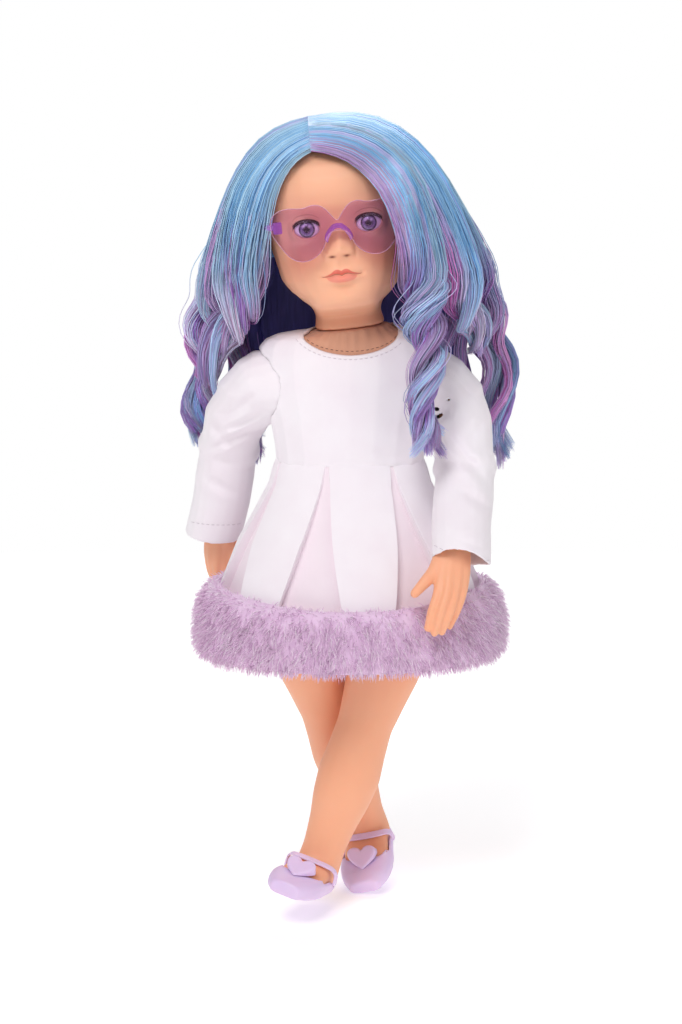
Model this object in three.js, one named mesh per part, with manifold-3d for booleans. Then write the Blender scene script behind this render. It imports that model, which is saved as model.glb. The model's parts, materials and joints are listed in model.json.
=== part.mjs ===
// An 18 inch play doll: soft vinyl head and limbs strung to a stuffed cloth body, with rooted hair,
// a long-sleeved pleated dress with a fur hem, moulded shoes and heart sunglasses.
// Millimetres, +Z up, the doll faces -Y and its left is +X. It stands as it was photographed, with its
// left leg crossed in front of its right, and the origin is on the floor under the middle of the doll.

import * as THREE from "three";
import { mergeVertices } from "three/addons/utils/BufferGeometryUtils.js";
import Module from "manifold-3d";

const wasm = await Module();
wasm.setup();

// Clearances
const FIT = 0.4; // moulded piece to moulded piece
const PLAY = 0.6; // rounded limb end to its cup
const CLOTH_GAP = 0.5; // cloth to what it lies on
const CLOTH = 1.2; // thickness of body cloth and dress cloth
const SLACK = 0.09; // how far a joined surface may leave its exact shape

// Places of the joints, above the floor plane before the model is set down
const NECK_Z = 337;
const SHOULDER_X = 58;
const SHOULDER_Z = 308;
const HIP_X = 34;
const HIP_Z = 178;

// Photographed pose, degrees
const HEAD_TILT = 6.5;
const LEFT_ARM = { forward: 21.5, out: 7.5, turn: -14 };
const RIGHT_ARM = { forward: -33, out: 13, turn: 14 };
const LEFT_LEG = { forward: 4, inward: 18.5, toe: -20 };
const RIGHT_LEG = { forward: -19, inward: 15.5, toe: -6 };

// Head, measured from the neck joint
const HEAD_TOP = 114.5;
const NECK_RADIUS = 20;
const NECK_STEM = { radius: 17, length: 16 };
const NECK_FLANGE = { radius: 20, thickness: 4 };
const TIE = { width: 3, thickness: 1.4 };
const EYE = { radius: 9.5, spread: 17.4, height: 60.5, sunk: 9.7 };
const EYE_OPENING = { halfWidth: 7, up: 4.9, down: 4.4 };
const LID = 1;
const TRUNNION = { radius: 1, length: 1 };
const HOUSING = 0.9;
const LASH = { length: 4.2, thickness: 0.5 };
const EYE_WEIGHT = { width: 7, height: 3.4, length: 6 };

// Sunglasses, measured in the head's frame
const LENS = { halfWidth: 37.2, thickness: 1.5, height: 61.1, stand: 9 };
const TEMPLE = { height: 3.2, thickness: 1.8, back: 16, spread: 46.3 };
const END_BLOCK = { width: 5, height: 6.5, depth: 4.5, inset: 3.8 };
const NOSE_PAD = { radius: 1.6, length: 5.6, spread: 7.2, drop: 8.2 };

// Cloth body, half widths and half depths at their heights
const CHEST = { width: 50, depth: 26, z: 304 };
const WAIST = { width: 41, depth: 27, z: 258 };
const PELVIS = { width: 56, depth: 28, z: 201 };
const BODY_BOTTOM_Z = 182;

// Limbs
const HIP_BALL = 21.5;
const LEG = {
  length: 182, thigh: 22.3, knee: 16.4, kneeAt: 79, calf: 18.6, calfAt: 110, ankle: 12.6, ankleAt: 155,
};
const FOOT = { toe: 45, heel: 13.5, width: 14.4, height: 20 };
const SHOULDER_BALL = 12.5;
const ARM = { upper: 60, fore: 56, hand: 40, bend: 18, inward: 12, top: 12, elbow: 12, wrist: 9.5 };
const CUP = 1.3; // wall of the cups that the limbs turn in
const CORD = { radius: 1.5, knot: 3.6 };

// Shoes
const SHOE = { wall: 1.5, sole: 2.4, throatFront: 29, throatHeight: 12.5 };
const SOLE_FLAT = 0.15; // depth over which the underside of a sole is flat
const STRAP = { width: 4.4, thickness: 1.3, lap: 3.5 };
const HEART = { size: 17.5, thickness: 3.6, slope: 43 };

// Dress
const NECKLINE = { halfWidth: 27, drop: 11 };
const WAIST_SEAM_Z = 259;
const ARMHOLE = { height: 20.5, depth: 18 };
const SLEEVE = { elbow: 17.5, cuff: 17, wall: 1.2, stop: 3 };
const SKIRT = { pleats: 7, pleatDepth: 5.5, hemWidth: 81, hemDepth: 63, hemZ: 150, edgeZ: 178 };
const FUR = { top: 189, bottom: 145, thickness: 8.5, dip: 8 };
const TAPE = { width: 14, length: 52, thickness: 1 };

// Hair
const HAIR_TOP = 123.5;
const CROWN_EDGE = 44;
const PARTING_X = -10;

const rad = THREE.MathUtils.degToRad;
const V = (x, y, z) => new THREE.Vector3(x, y, z);

// A smooth value between given stations, each [place, value].
function profile(stations) {
  const slopes = stations.map((_, i) => {
    const a = stations[Math.max(0, i - 1)];
    const b = stations[i];
    const c = stations[Math.min(stations.length - 1, i + 1)];
    const before = (b[1] - a[1]) / (b[0] - a[0] || 1);
    const after = (c[1] - b[1]) / (c[0] - b[0] || 1);
    return before * after <= 0 ? 0 : (2 * before * after) / (before + after);
  });
  return (place) => {
    let i = 0;
    while (i < stations.length - 2 && place > stations[i + 1][0]) i += 1;
    const [p0, v0] = stations[i];
    const [p1, v1] = stations[i + 1];
    const t = Math.min(1, Math.max(0, (place - p0) / (p1 - p0)));
    const s = (p1 - p0) * t * (1 - t);
    return v0 * (1 - t) ** 2 * (1 + 2 * t) + v1 * t ** 2 * (3 - 2 * t)
      + s * ((1 - t) * slopes[i] - t * slopes[i + 1]);
  };
}

// Numbers from first to last in equal steps.
function steps(first, last, count) {
  return Array.from({ length: count }, (_, i) => first + ((last - first) * i) / (count - 1));
}

// Closed body through rings of equally many points, its ends closed by fans.
function skin(rings) {
  const count = rings[0].length;
  const positions = [];
  const triangle = (a, b, c) => positions.push(...a, ...b, ...c);
  for (let r = 0; r + 1 < rings.length; r += 1) {
    for (let i = 0; i < count; i += 1) {
      const j = (i + 1) % count;
      const [a, b, c, d] = [rings[r][i], rings[r][j], rings[r + 1][j], rings[r + 1][i]];
      triangle(a, b, c);
      triangle(a, c, d);
    }
  }
  const middle = (ring) => ring.reduce((sum, p) => sum.add(p), V(0, 0, 0)).divideScalar(count);
  const first = middle(rings[0]);
  const last = middle(rings[rings.length - 1]);
  for (let i = 0; i < count; i += 1) {
    const j = (i + 1) % count;
    triangle(first, rings[0][j], rings[0][i]);
    triangle(last, rings[rings.length - 1][i], rings[rings.length - 1][j]);
  }
  return facingOut(bodyOf(positions));
}

// Closed wall whose rings run up the outside, over the rim, down the inside and back to the start.
function hoop(rings) {
  const count = rings[0].length;
  const positions = [];
  for (let r = 0; r < rings.length; r += 1) {
    const next = rings[(r + 1) % rings.length];
    for (let i = 0; i < count; i += 1) {
      const j = (i + 1) % count;
      positions.push(...rings[r][i], ...rings[r][j], ...next[j]);
      positions.push(...rings[r][i], ...next[j], ...next[i]);
    }
  }
  return facingOut(bodyOf(positions));
}

function bodyOf(positions) {
  const geometry = new THREE.BufferGeometry();
  geometry.setAttribute("position", new THREE.Float32BufferAttribute(positions, 3));
  return geometry;
}

function signedVolume(geometry) {
  const p = geometry.getAttribute("position");
  const [a, b, c] = [V(0, 0, 0), V(0, 0, 0), V(0, 0, 0)];
  let volume = 0;
  for (let i = 0; i < p.count; i += 3) {
    a.fromBufferAttribute(p, i);
    b.fromBufferAttribute(p, i + 1);
    c.fromBufferAttribute(p, i + 2);
    volume += a.dot(b.cross(c)) / 6;
  }
  return volume;
}

function facingOut(geometry) {
  if (signedVolume(geometry) >= 0) return geometry;
  const p = geometry.getAttribute("position");
  const [b, c] = [V(0, 0, 0), V(0, 0, 0)];
  for (let i = 0; i < p.count; i += 3) {
    b.fromBufferAttribute(p, i + 1);
    c.fromBufferAttribute(p, i + 2);
    p.setXYZ(i + 1, c.x, c.y, c.z);
    p.setXYZ(i + 2, b.x, b.y, b.z);
  }
  return geometry;
}

// Geometry as a solid for joining and cutting, and back.
function solid(geometry) {
  const bare = geometry.index ? geometry.toNonIndexed() : geometry.clone();
  bare.deleteAttribute("normal");
  bare.deleteAttribute("uv");
  const merged = mergeVertices(facingOut(bare), 1e-4);
  return new wasm.Manifold(new wasm.Mesh({
    numProp: 3,
    vertProperties: merged.getAttribute("position").array,
    triVerts: new Uint32Array(merged.index.array),
  }));
}

function geometryOf(body) {
  const mesh = body.simplify(SLACK).getMesh();
  const geometry = new THREE.BufferGeometry();
  const stride = mesh.numProp;
  const count = mesh.vertProperties.length / stride;
  const positions = new Float32Array(count * 3);
  for (let i = 0; i < count; i += 1) {
    for (let k = 0; k < 3; k += 1) positions[3 * i + k] = mesh.vertProperties[stride * i + k];
  }
  geometry.setAttribute("position", new THREE.BufferAttribute(positions, 3));
  geometry.setIndex(new THREE.BufferAttribute(new Uint32Array(mesh.triVerts), 1));
  return geometry.toNonIndexed();
}

function cut(geometry, ...tools) {
  return geometryOf(tools.reduce((body, tool) => body.subtract(solid(tool)), solid(geometry)));
}

function join(geometry, ...more) {
  return geometryOf(more.reduce((body, other) => body.add(solid(other)), solid(geometry)));
}

function common(geometry, other) {
  return geometryOf(solid(geometry).intersect(solid(other)));
}

// Plain shapes, placed
function ball(radius, x = 0, y = 0, z = 0, fineness = 3) {
  return new THREE.IcosahedronGeometry(radius, fineness).translate(x, y, z);
}

function block(width, depth, height, x, y, z) {
  return new THREE.BoxGeometry(width, depth, height).translate(x, y, z);
}

// Revolve about Z of a closed profile of [radius, height] points.
function revolve(points, around = 24) {
  const profilePoints = points.map(([r, z]) => new THREE.Vector2(r, z));
  return facingOut(new THREE.LatheGeometry(profilePoints, around).rotateX(Math.PI / 2).toNonIndexed());
}

// Round rod between two points.
function rod(from, to, radius, around = 10) {
  const along = to.clone().sub(from);
  const turn = new THREE.Quaternion().setFromUnitVectors(V(0, 1, 0), along.clone().normalize());
  return new THREE.CylinderGeometry(radius, radius, along.length(), around)
    .applyQuaternion(turn)
    .translate(...from.clone().add(to).divideScalar(2));
}

// Level oval ring with its own half depths in front and behind and a fullness power.
function oval({ z, width, front, back, x = 0, y = 0, power = 2, count = 24 }) {
  return Array.from({ length: count }, (_, i) => {
    const angle = (2 * Math.PI * i) / count;
    const [c, s] = [Math.cos(angle), Math.sin(angle)];
    const size = (Math.abs(c) ** power + Math.abs(s) ** power) ** (-1 / power);
    return V(x + c * size * width, y + s * size * (s < 0 ? front : back), z);
  });
}

// Materials as photographed
const finish = (color, roughness, metalness = 0, opacity = 1) =>
  new THREE.MeshStandardMaterial({ color, roughness, metalness, opacity, transparent: opacity < 1 });
const skinVinyl = finish(0xf3b995, 0.55);
const bodyCloth = finish(0xdfab8a, 0.95);
const stuffingWool = finish(0xf4f1ea, 1);
const cordNylon = finish(0xe9e2d6, 0.7);
const cupPlastic = finish(0xf2ece4, 0.4);
const dressCloth = finish(0xf1eaf0, 0.8);
const furPlush = finish(0xd2b4d6, 1);
const tapeNylon = finish(0xf3eef2, 0.9);
const shoeVinyl = finish(0xd9bfe8, 0.45);
const hairBlue = finish(0x7fb2e4, 0.45);
const hairViolet = finish(0xa98bd0, 0.45);
const eyeWhite = finish(0xefeaf2, 0.15);
const lashFibre = finish(0x2c2022, 0.7);
const weightSteel = finish(0x8d9095, 0.4, 1);
const lensRose = finish(0xd2718a, 0.1, 0, 0.5);
const clearPurple = finish(0x9a3fc8, 0.15, 0, 0.7);

const doll = new THREE.Group();
const atHead = new THREE.Group();
atHead.position.set(0, 0, NECK_Z);
atHead.rotation.y = -rad(HEAD_TILT);
doll.add(atHead);

function place(name, geometry, material, parent = doll) {
  const mesh = new THREE.Mesh(geometry, material);
  mesh.name = name;
  parent.add(mesh);
  return mesh;
}

// Moves a geometry made in a group's frame to the doll's frame.
function fromGroup(group, geometry) {
  group.updateMatrixWorld(true);
  return geometry.clone().applyMatrix4(group.matrixWorld);
}

// Mirrors a geometry from the doll's left to its right.
function mirrored(geometry) {
  const turned = geometry.clone().scale(-1, 1, 1);
  return facingOut(turned.index ? turned.toNonIndexed() : turned);
}

// Head: level sections from the neck up, with the features of the face raised on the front.
const headWidth = profile([
  [0, NECK_RADIUS], [9, 19.6], [12, 22], [17, 28], [30, 35.5], [44, 38.5], [60, 42.5], [72, 43.5],
  [84, 42.5], [94, 38.5], [102, 31.5], [108, 22.5], [112, 12], [HEAD_TOP, 1],
]);
const headFront = profile([
  [0, NECK_RADIUS], [8, 19.5], [11, 27], [13, 37], [17, 43.5], [24, 46], [40, 47.5], [60, 46], [74, 48],
  [86, 46], [95, 41], [102, 33], [108, 23], [112, 12.5], [HEAD_TOP, 1],
]);
const headBack = profile([
  [0, NECK_RADIUS], [11, 21], [17, 27], [30, 39], [40, 45.5], [50, 49], [60, 51.5], [74, 52], [84, 50],
  [94, 45.5], [102, 37.5], [108, 27], [112, 14], [HEAD_TOP, 1],
]);
const noseRidge = profile([
  [36, 0], [42, 2.4], [45.5, 6.5], [49, 8.4], [52, 6.4], [56, 3.2], [61, 0.9], [68, 0],
]);
const FACE_FULLNESS = 2.5;

function bump(x, z, { at, spread, height }) {
  return height * Math.exp(-(((x - at[0]) / spread[0]) ** 2) - ((z - at[1]) / spread[1]) ** 2);
}

// How far the face stands out from the plain sections at a place on its front.
function faceRelief(x, z) {
  const side = Math.abs(x);
  const noseWidth = 3.6 + 2.4 * Math.exp(-(((z - 47) / 6) ** 2));
  const nose = noseRidge(z) * Math.exp(-((x / noseWidth) ** 2));
  const paired = [
    { at: [6.6, 46], spread: [3, 2.8], height: 2.6 }, // wing of the nose
    { at: [EYE.spread, EYE.height], spread: [9, 7], height: -2 }, // eye socket
    { at: [EYE.spread, EYE.height + 10.5], spread: [12, 4.5], height: 0.9 }, // brow
    { at: [21, 42], spread: [11, 10], height: 2 }, // cheek
    { at: [3.6, 35.6], spread: [4.2, 1.7], height: 1.5 }, // upper lip
    { at: [12.4, 33.6], spread: [2.4, 2], height: -0.8 }, // mouth corner
  ];
  const single = [
    { at: [0, 33], spread: [14, 8], height: 1.8 }, // muzzle
    { at: [0, 31], spread: [6.6, 2], height: 1.9 }, // lower lip
    { at: [0, 33.4], spread: [10, 0.8], height: -1.2 }, // lip line
    { at: [0, 39], spread: [1.6, 2.4], height: -0.5 }, // groove under the nose
    { at: [0, 26], spread: [8, 2.2], height: -1.4 }, // groove over the chin
    { at: [0, 19], spread: [9, 5], height: 2 }, // chin
  ];
  return nose
    + paired.reduce((sum, b) => sum + bump(side, z, b), 0)
    + single.reduce((sum, b) => sum + bump(x, z, b), 0);
}

function headRing(z, count, grow = 0, relief = 1) {
  return steps(-1, 1 - 2 / count, count).map((t) => {
    const angle = -Math.PI / 2 + Math.PI * Math.sign(t) * Math.abs(t) ** 1.3;
    const [c, s] = [Math.cos(angle), Math.sin(angle)];
    const power = s < 0 ? FACE_FULLNESS : 2;
    const size = (Math.abs(c) ** power + Math.abs(s) ** power) ** (-1 / power);
    const x = c * size * (headWidth(z) + grow);
    const y = s * size * ((s < 0 ? headFront(z) : headBack(z)) + grow);
    return V(x, s < 0 ? y - relief * faceRelief(x, z) * Math.min(1, -2 * s) : y, z);
  });
}

function skull(grow, count) {
  return skin([-0.4, ...steps(6, HEAD_TOP - 3, 12), HEAD_TOP].map((z) => {
    return headRing(Math.max(0, z), count, grow, 0).map((p) => V(p.x, p.y, z + (z > 100 ? grow : 0)));
  }));
}

function eyeOpening() {
  const { halfWidth, up, down } = EYE_OPENING;
  const outline = new THREE.Shape();
  outline.moveTo(-halfWidth, -0.4);
  outline.bezierCurveTo(-halfWidth + 1.5, up * 1.2, halfWidth - 2, up * 1.35, halfWidth, 0.6);
  outline.bezierCurveTo(halfWidth - 2, -down * 1.25, -halfWidth + 2.5, -down * 1.4, -halfWidth, -0.4);
  return new THREE.ExtrudeGeometry(outline, { depth: 16, bevelEnabled: false, curveSegments: 8 })
    .rotateX(Math.PI / 2);
}

const eyeAt = (side) => V(side * EYE.spread, EYE.sunk - headFront(EYE.height), EYE.height);

function eyePocket(side) {
  const { x, y, z } = eyeAt(side);
  const inner = ball(EYE.radius + FIT, x, y, z, 2);
  const seat = ball(EYE.radius + 2 * FIT + HOUSING, x, y, z, 2);
  const behind = block(40, 30, 40, x, y + 15 - TRUNNION.radius - FIT, z);
  const opening = side > 0 ? eyeOpening() : mirrored(eyeOpening());
  return join(inner, common(seat, behind), opening.translate(x, y, z));
}

function head() {
  const levels = [
    0, 8, 11.5, 13.5, ...steps(17, 30, 5), ...steps(31.8, 37, 4), ...steps(39.5, 52, 6),
    ...steps(56, 72, 5), ...steps(80, 102, 4), 108, 112, HEAD_TOP,
  ];
  const face = skin(levels.map((z) => headRing(z, 28)));
  const neck = revolve([
    [0, -NECK_STEM.length], [NECK_FLANGE.radius, -NECK_STEM.length],
    [NECK_FLANGE.radius, NECK_FLANGE.thickness - NECK_STEM.length],
    [NECK_STEM.radius, NECK_FLANGE.thickness - NECK_STEM.length], [NECK_STEM.radius, 2], [0, 2],
  ]);
  const lids = [-1, 1].map((side) => ball(EYE.radius + FIT + LID, ...eyeAt(side), 2));
  return cut(join(face, neck, ...lids), eyePocket(-1), eyePocket(1));
}

// Eyes: a ball on two trunnions, bored from behind for its weight, in a cupped housing.
function eyeball(side) {
  const c = eyeAt(side);
  const reach = EYE.radius + TRUNNION.length;
  const trunnions = rod(V(c.x - reach, c.y, c.z), V(c.x + reach, c.y, c.z), TRUNNION.radius);
  const bore = rod(V(c.x, c.y + 1, c.z), V(c.x, c.y + EYE.radius + 1, c.z), EYE_WEIGHT.width - 1, 14);
  return cut(join(ball(EYE.radius, ...c, 2), trunnions), bore);
}

function eyeHousing(side) {
  const c = eyeAt(side);
  const reach = EYE.radius + 6;
  const shell = cut(
    ball(EYE.radius + FIT + HOUSING, ...c, 2),
    ball(EYE.radius + FIT, ...c, 2),
    block(40, 30, 40, c.x, c.y - 15 - 0.6, c.z),
    rod(V(c.x - reach, c.y, c.z), V(c.x + reach, c.y, c.z), TRUNNION.radius + FIT),
  );
  return shell;
}

function eyeWeight(side) {
  const c = eyeAt(side);
  const { width, height, length } = EYE_WEIGHT;
  return block(width, length, height, c.x, c.y + 1 + FIT + length / 2, c.z - 1 - height / 2);
}

// Lashes: a strip along the top of the opening, rooted in the ball and curling up at its tips.
function lashes(side) {
  const c = eyeAt(side);
  const half = EYE_OPENING.halfWidth - 1.3;
  const strip = skin(steps(-half, half, 9).map((x) => {
    const edge = EYE_OPENING.up * Math.sqrt(1 - (x / (half + 1.3)) ** 2) - 1.3;
    const root = Math.sqrt((EYE.radius + 0.3) ** 2 - x ** 2 - edge ** 2);
    const spread = x * (1 + LASH.length / 14);
    return [
      V(x, -root, edge), V(x, -root, edge - LASH.thickness),
      V(spread, -root - LASH.length, edge + 1.2), V(spread, -root - LASH.length, edge + 1.5),
    ];
  }));
  return (side > 0 ? strip : mirrored(strip)).translate(c.x, c.y, c.z);
}

place("head", head(), skinVinyl, atHead);
for (const [side, name] of [[1, "left"], [-1, "right"]]) {
  place(`${name}_eyeball`, eyeball(side), eyeWhite, atHead);
  place(`${name}_eye_housing`, eyeHousing(side), cupPlastic, atHead);
  place(`${name}_eye_weight`, eyeWeight(side), weightSteel, atHead);
  place(`${name}_lashes`, lashes(side), lashFibre, atHead);
}

// Sunglasses: a one-piece lens of two hearts, a bridge with pads behind it and two temples.
// The pads rest beside the nose, and the lens stands a little in front of them.
const padHeight = LENS.height - NOSE_PAD.drop;
const lensFront = -headFront(padHeight) - faceRelief(NOSE_PAD.spread, padHeight) - LENS.stand;
const lensBack = lensFront + LENS.thickness;

function lens() {
  const w = LENS.halfWidth;
  const half = (s, outline) => {
    const to = (...p) => outline.bezierCurveTo(s * p[0], p[1], s * p[2], p[3], s * p[4], p[5]);
    to(3, 6, 5, 12.8, 11.4, 13.3);
    to(14.5, 13.5, 16, 12.2, 18.3, 12.1);
    to(22, 12, 24, 13, 28.5, 12.6);
    to(33, 12.2, w, 9.5, w, 4.8);
    to(w + 0.1, 1, w - 0.3, -2, w - 2.4, -5);
    to(32, -9.5, 28.5, -17.4, 21.2, -17.9);
    to(14.5, -18, 9, -13.5, 7.3, -8);
    to(6, -3.8, 3.6, -2.2, 0, -2.2);
  };
  const right = new THREE.Shape();
  right.moveTo(0, 3.2);
  half(1, right);
  right.lineTo(0, 3.2);
  const points = right.getPoints(5).slice(0, -1);
  const left = points.slice(1, -1).map((p) => new THREE.Vector2(-p.x, p.y)).reverse();
  const outline = new THREE.Shape([...points, ...left]);
  return new THREE.ExtrudeGeometry(outline, { depth: LENS.thickness, bevelEnabled: false })
    .rotateX(Math.PI / 2)
    .translate(0, lensBack, LENS.height);
}

function noseBridge() {
  const { length, radius, spread, drop: low } = NOSE_PAD;
  const y = lensBack + 0.3 + radius;
  const half = [
    [0, 0, 0.2], [spread / 3, 0, -0.2], [spread / 1.5, 0, -0.32 * low], [0.92 * spread, 0.4, -0.68 * low],
    [spread, length - 3, -low],
  ];
  const route = [...half.slice(1).reverse().map(([x, back, drop]) => [-x, back, drop]), ...half];
  return skin(route.map(([x, back, drop]) => {
    const lean = Math.atan2(x, 7) * 0.9;
    return ringAt(V(x, y + back, LENS.height + drop), V(Math.sin(lean), 0, Math.cos(lean)), V(0, 1, 0),
      radius, radius, 8);
  }));
}

function temple(side) {
  const start = lensBack + 0.3;
  const x = LENS.halfWidth - END_BLOCK.inset;
  const z = LENS.height + 2.3;
  const route = [
    [x, start + END_BLOCK.depth / 2, 0], [x + 2.2, start + END_BLOCK.depth + 2, 0],
    [TEMPLE.spread - 3, -28, 0], [TEMPLE.spread, -8, 0], [TEMPLE.spread, TEMPLE.back - 9, 0],
    [TEMPLE.spread, TEMPLE.back, -3.4],
  ];
  const bar = skin(route.map(([px, py, drop]) => {
    const [t, h] = [TEMPLE.thickness / 2, TEMPLE.height / 2];
    return [V(px - t, py, z + drop - h), V(px + t, py, z + drop - h), V(px + t, py, z + drop + h),
      V(px - t, py, z + drop + h)];
  }));
  const end = block(END_BLOCK.width, END_BLOCK.depth, END_BLOCK.height, x, start + END_BLOCK.depth / 2, z);
  const whole = join(end, bar);
  return side > 0 ? whole : mirrored(whole);
}

place("lens_front", lens(), lensRose, atHead);
place("nose_bridge", noseBridge(), clearPurple, atHead);
place("left_temple", temple(1), clearPurple, atHead);
place("right_temple", temple(-1), clearPurple, atHead);

// Cloth body: a stuffed cloth cover with square shoulders, gathered round the neck plug.
const bodyWidth = profile([
  [BODY_BOTTOM_Z, 33], [185, 46], [191, 54], [PELVIS.z, PELVIS.width], [218, 49.5], [238, 43.5],
  [WAIST.z, WAIST.width], [283, 44.5], [294, 47.5], [CHEST.z, CHEST.width], [318, 52], [325, 51],
  [329, 47], [331, 41], [332.5, 33], [334, 25.5], [NECK_Z, NECK_RADIUS + 1.5],
]);
const bodyDepth = profile([
  [BODY_BOTTOM_Z, 8], [187, 12], [191, 16.5], [196, 21.5], [PELVIS.z, PELVIS.depth - 2],
  [207, PELVIS.depth], [220, 29], [WAIST.z, WAIST.depth], [283, 26.5], [CHEST.z, CHEST.depth],
  [318, 23.8], [325, 22.2], [329, 21.6], [331, 21.2], [332.5, 21.2], [334, 21.3], [NECK_Z, NECK_RADIUS + 1.5],
]);
const BODY_FULLNESS = 2.2;
const ARM_ROOM = 47; // where the armholes' flat sides begin

function bodyRing(z, grow, count = 20) {
  const lift = grow * THREE.MathUtils.smoothstep(z, 322, 331);
  const ring = oval({
    z: z + lift, width: bodyWidth(z) + grow, front: bodyDepth(z) + grow, back: bodyDepth(z) + grow,
    power: z > 330 ? 2 : BODY_FULLNESS, count,
  });
  const lean = -rad(HEAD_TILT) * THREE.MathUtils.smoothstep(z, 331, NECK_Z - 1);
  const pivot = V(0, 0, NECK_Z);
  return ring.map((p) => p.sub(pivot).applyAxisAngle(V(0, 1, 0), lean).add(pivot));
}

const bodyLevels = [
  BODY_BOTTOM_Z, 184.5, 189, 194, PELVIS.z, 210, 220, 238, WAIST.z, 272, 288, CHEST.z, 314, 321, 326,
  329, 331, 332.5, 334, NECK_Z - CLOTH_GAP,
];

const hipAt = (side) => V(side * HIP_X, 0, HIP_Z);
const shoulderAt = (side) => V(side * SHOULDER_X, 0, SHOULDER_Z);
const hipPole = (side) => V(-side * 0.25, 0, 0.97).normalize();
const shoulderPole = (side) => V(-side, 0, 0);

// Cup in which a limb's rounded end turns, open along the pole that its cord passes through.
function cup(center, pole, ballRadius, angle) {
  const inner = ballRadius + PLAY;
  const outer = inner + CUP;
  const hole = CORD.radius + 1;
  const arc = (r, from, to) => steps(from, to, 4).map((a) => [r * Math.sin(a), r * Math.cos(a)]);
  const points = [
    ...arc(inner, Math.asin(hole / inner), rad(angle)),
    ...arc(outer, rad(angle), Math.asin(hole / outer)),
  ];
  const turn = new THREE.Quaternion().setFromUnitVectors(V(0, 0, 1), pole);
  return revolve([...points, points[0]], 20).applyQuaternion(turn).translate(...center);
}

function limbRooms(extra) {
  const rooms = [];
  for (const side of [-1, 1]) {
    rooms.push(ball(HIP_BALL + PLAY + CUP + extra, ...hipAt(side), 2));
    rooms.push(ball(SHOULDER_BALL + PLAY + CUP + extra, ...shoulderAt(side), 2));
  }
  return rooms;
}

// Room beside the body in which the upper arms swing.
function armRooms(x) {
  return [-1, 1].map((side) => new THREE.CylinderGeometry(26, 26, 30, 20)
    .rotateZ(Math.PI / 2)
    .translate(side * (x + 15), 0, SHOULDER_Z));
}

function neckRoom(extra) {
  const stem = NECK_STEM.radius + extra;
  const flange = NECK_FLANGE.radius + extra;
  const floor = -NECK_STEM.length - extra;
  const step = floor + NECK_FLANGE.thickness + 2 * extra;
  const tie = NECK_STEM.radius + TIE.thickness + 2 * FIT;
  const tieZ = -6;
  const half = TIE.width / 2 + FIT;
  return fromGroup(atHead, revolve([
    [0, floor], [flange, floor], [flange, step], [stem, step], [stem, tieZ - half], [tie, tieZ - half],
    [tie, tieZ + half], [stem, tieZ + half], [stem, 3], [0, 3],
  ], 20));
}

// Inside of the cloth cover, or a solid that lies a gap away from it.
function lining(gap) {
  const floor = BODY_BOTTOM_Z + 2;
  const levels = [floor, 189, PELVIS.z, 220, WAIST.z, 280, CHEST.z, 321, 329];
  const rings = levels.map((z) => bodyRing(z, -CLOTH - gap));
  rings[0].forEach((p) => p.setZ(floor + gap));
  return skin(rings);
}

function torsoCover() {
  const outside = skin(bodyLevels.map((z) => bodyRing(z, 0)));
  const inside = lining(0);
  return cut(outside, inside, neckRoom(FIT), ...limbRooms(1.2), ...armRooms(ARM_ROOM));
}

function torsoStuffing() {
  const inside = lining(CLOTH_GAP);
  const knots = [-1, 1].flatMap((side) => [
    ball(CORD.knot + 1, ...knotAt(hipAt(side), hipPole(side), HIP_BALL), 1),
    ball(CORD.knot + 1, ...knotAt(shoulderAt(side), shoulderPole(side), SHOULDER_BALL), 1),
  ]);
  const wide = NECK_FLANGE.radius + 1;
  const plug = fromGroup(atHead, revolve([
    [0, -NECK_STEM.length - 1], [wide, -NECK_STEM.length - 1], [wide, 0], [0, 0],
  ], 16));
  return cut(inside, plug, ...limbRooms(1.6), ...armRooms(ARM_ROOM - CLOTH - CLOTH_GAP), ...knots);
}

const knotAt = (center, pole, radius) =>
  center.clone().addScaledVector(pole, radius + PLAY + CUP + CORD.knot + 0.4);

// Elastic cord with its knot inside the body and its other end hooked in the limb's rounded end.
function cord(center, pole, radius) {
  const knot = knotAt(center, pole, radius);
  const end = center.clone().addScaledVector(pole, radius - 9);
  return join(ball(CORD.knot, ...knot, 2), rod(end, knot, CORD.radius, 8));
}

const cordRoom = (center, pole, radius) => rod(
  center.clone().addScaledVector(pole, radius - 10),
  center.clone().addScaledVector(pole, radius + 3), CORD.radius + 1, 10);

place("torso_cover", torsoCover(), bodyCloth);
place("torso_stuffing", torsoStuffing(), stuffingWool);
place("neck_tie", fromGroup(atHead, revolve([
  [NECK_STEM.radius + FIT, -6 - TIE.width / 2], [NECK_STEM.radius + FIT + TIE.thickness, -6 - TIE.width / 2],
  [NECK_STEM.radius + FIT + TIE.thickness, -6 + TIE.width / 2], [NECK_STEM.radius + FIT, -6 + TIE.width / 2],
  [NECK_STEM.radius + FIT, -6 - TIE.width / 2],
], 28)), cordNylon);
for (const [side, name] of [[1, "left"], [-1, "right"]]) {
  place(`${name}_shoulder_cup`, cup(shoulderAt(side), shoulderPole(side), SHOULDER_BALL, 50), cupPlastic);
  place(`${name}_hip_cup`, cup(hipAt(side), hipPole(side), HIP_BALL, 34), cupPlastic);
  place(`${name}_arm_cord`, cord(shoulderAt(side), shoulderPole(side), SHOULDER_BALL), cordNylon);
  place(`${name}_leg_cord`, cord(hipAt(side), hipPole(side), HIP_BALL), cordNylon);
}

// Ring round a point, with its own two axes.
function ringAt(center, u, v, ru, rv, count) {
  return Array.from({ length: count }, (_, i) => {
    const a = (2 * Math.PI * i) / count;
    return center.clone().addScaledVector(u, ru * Math.cos(a)).addScaledVector(v, rv * Math.sin(a));
  });
}

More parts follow.
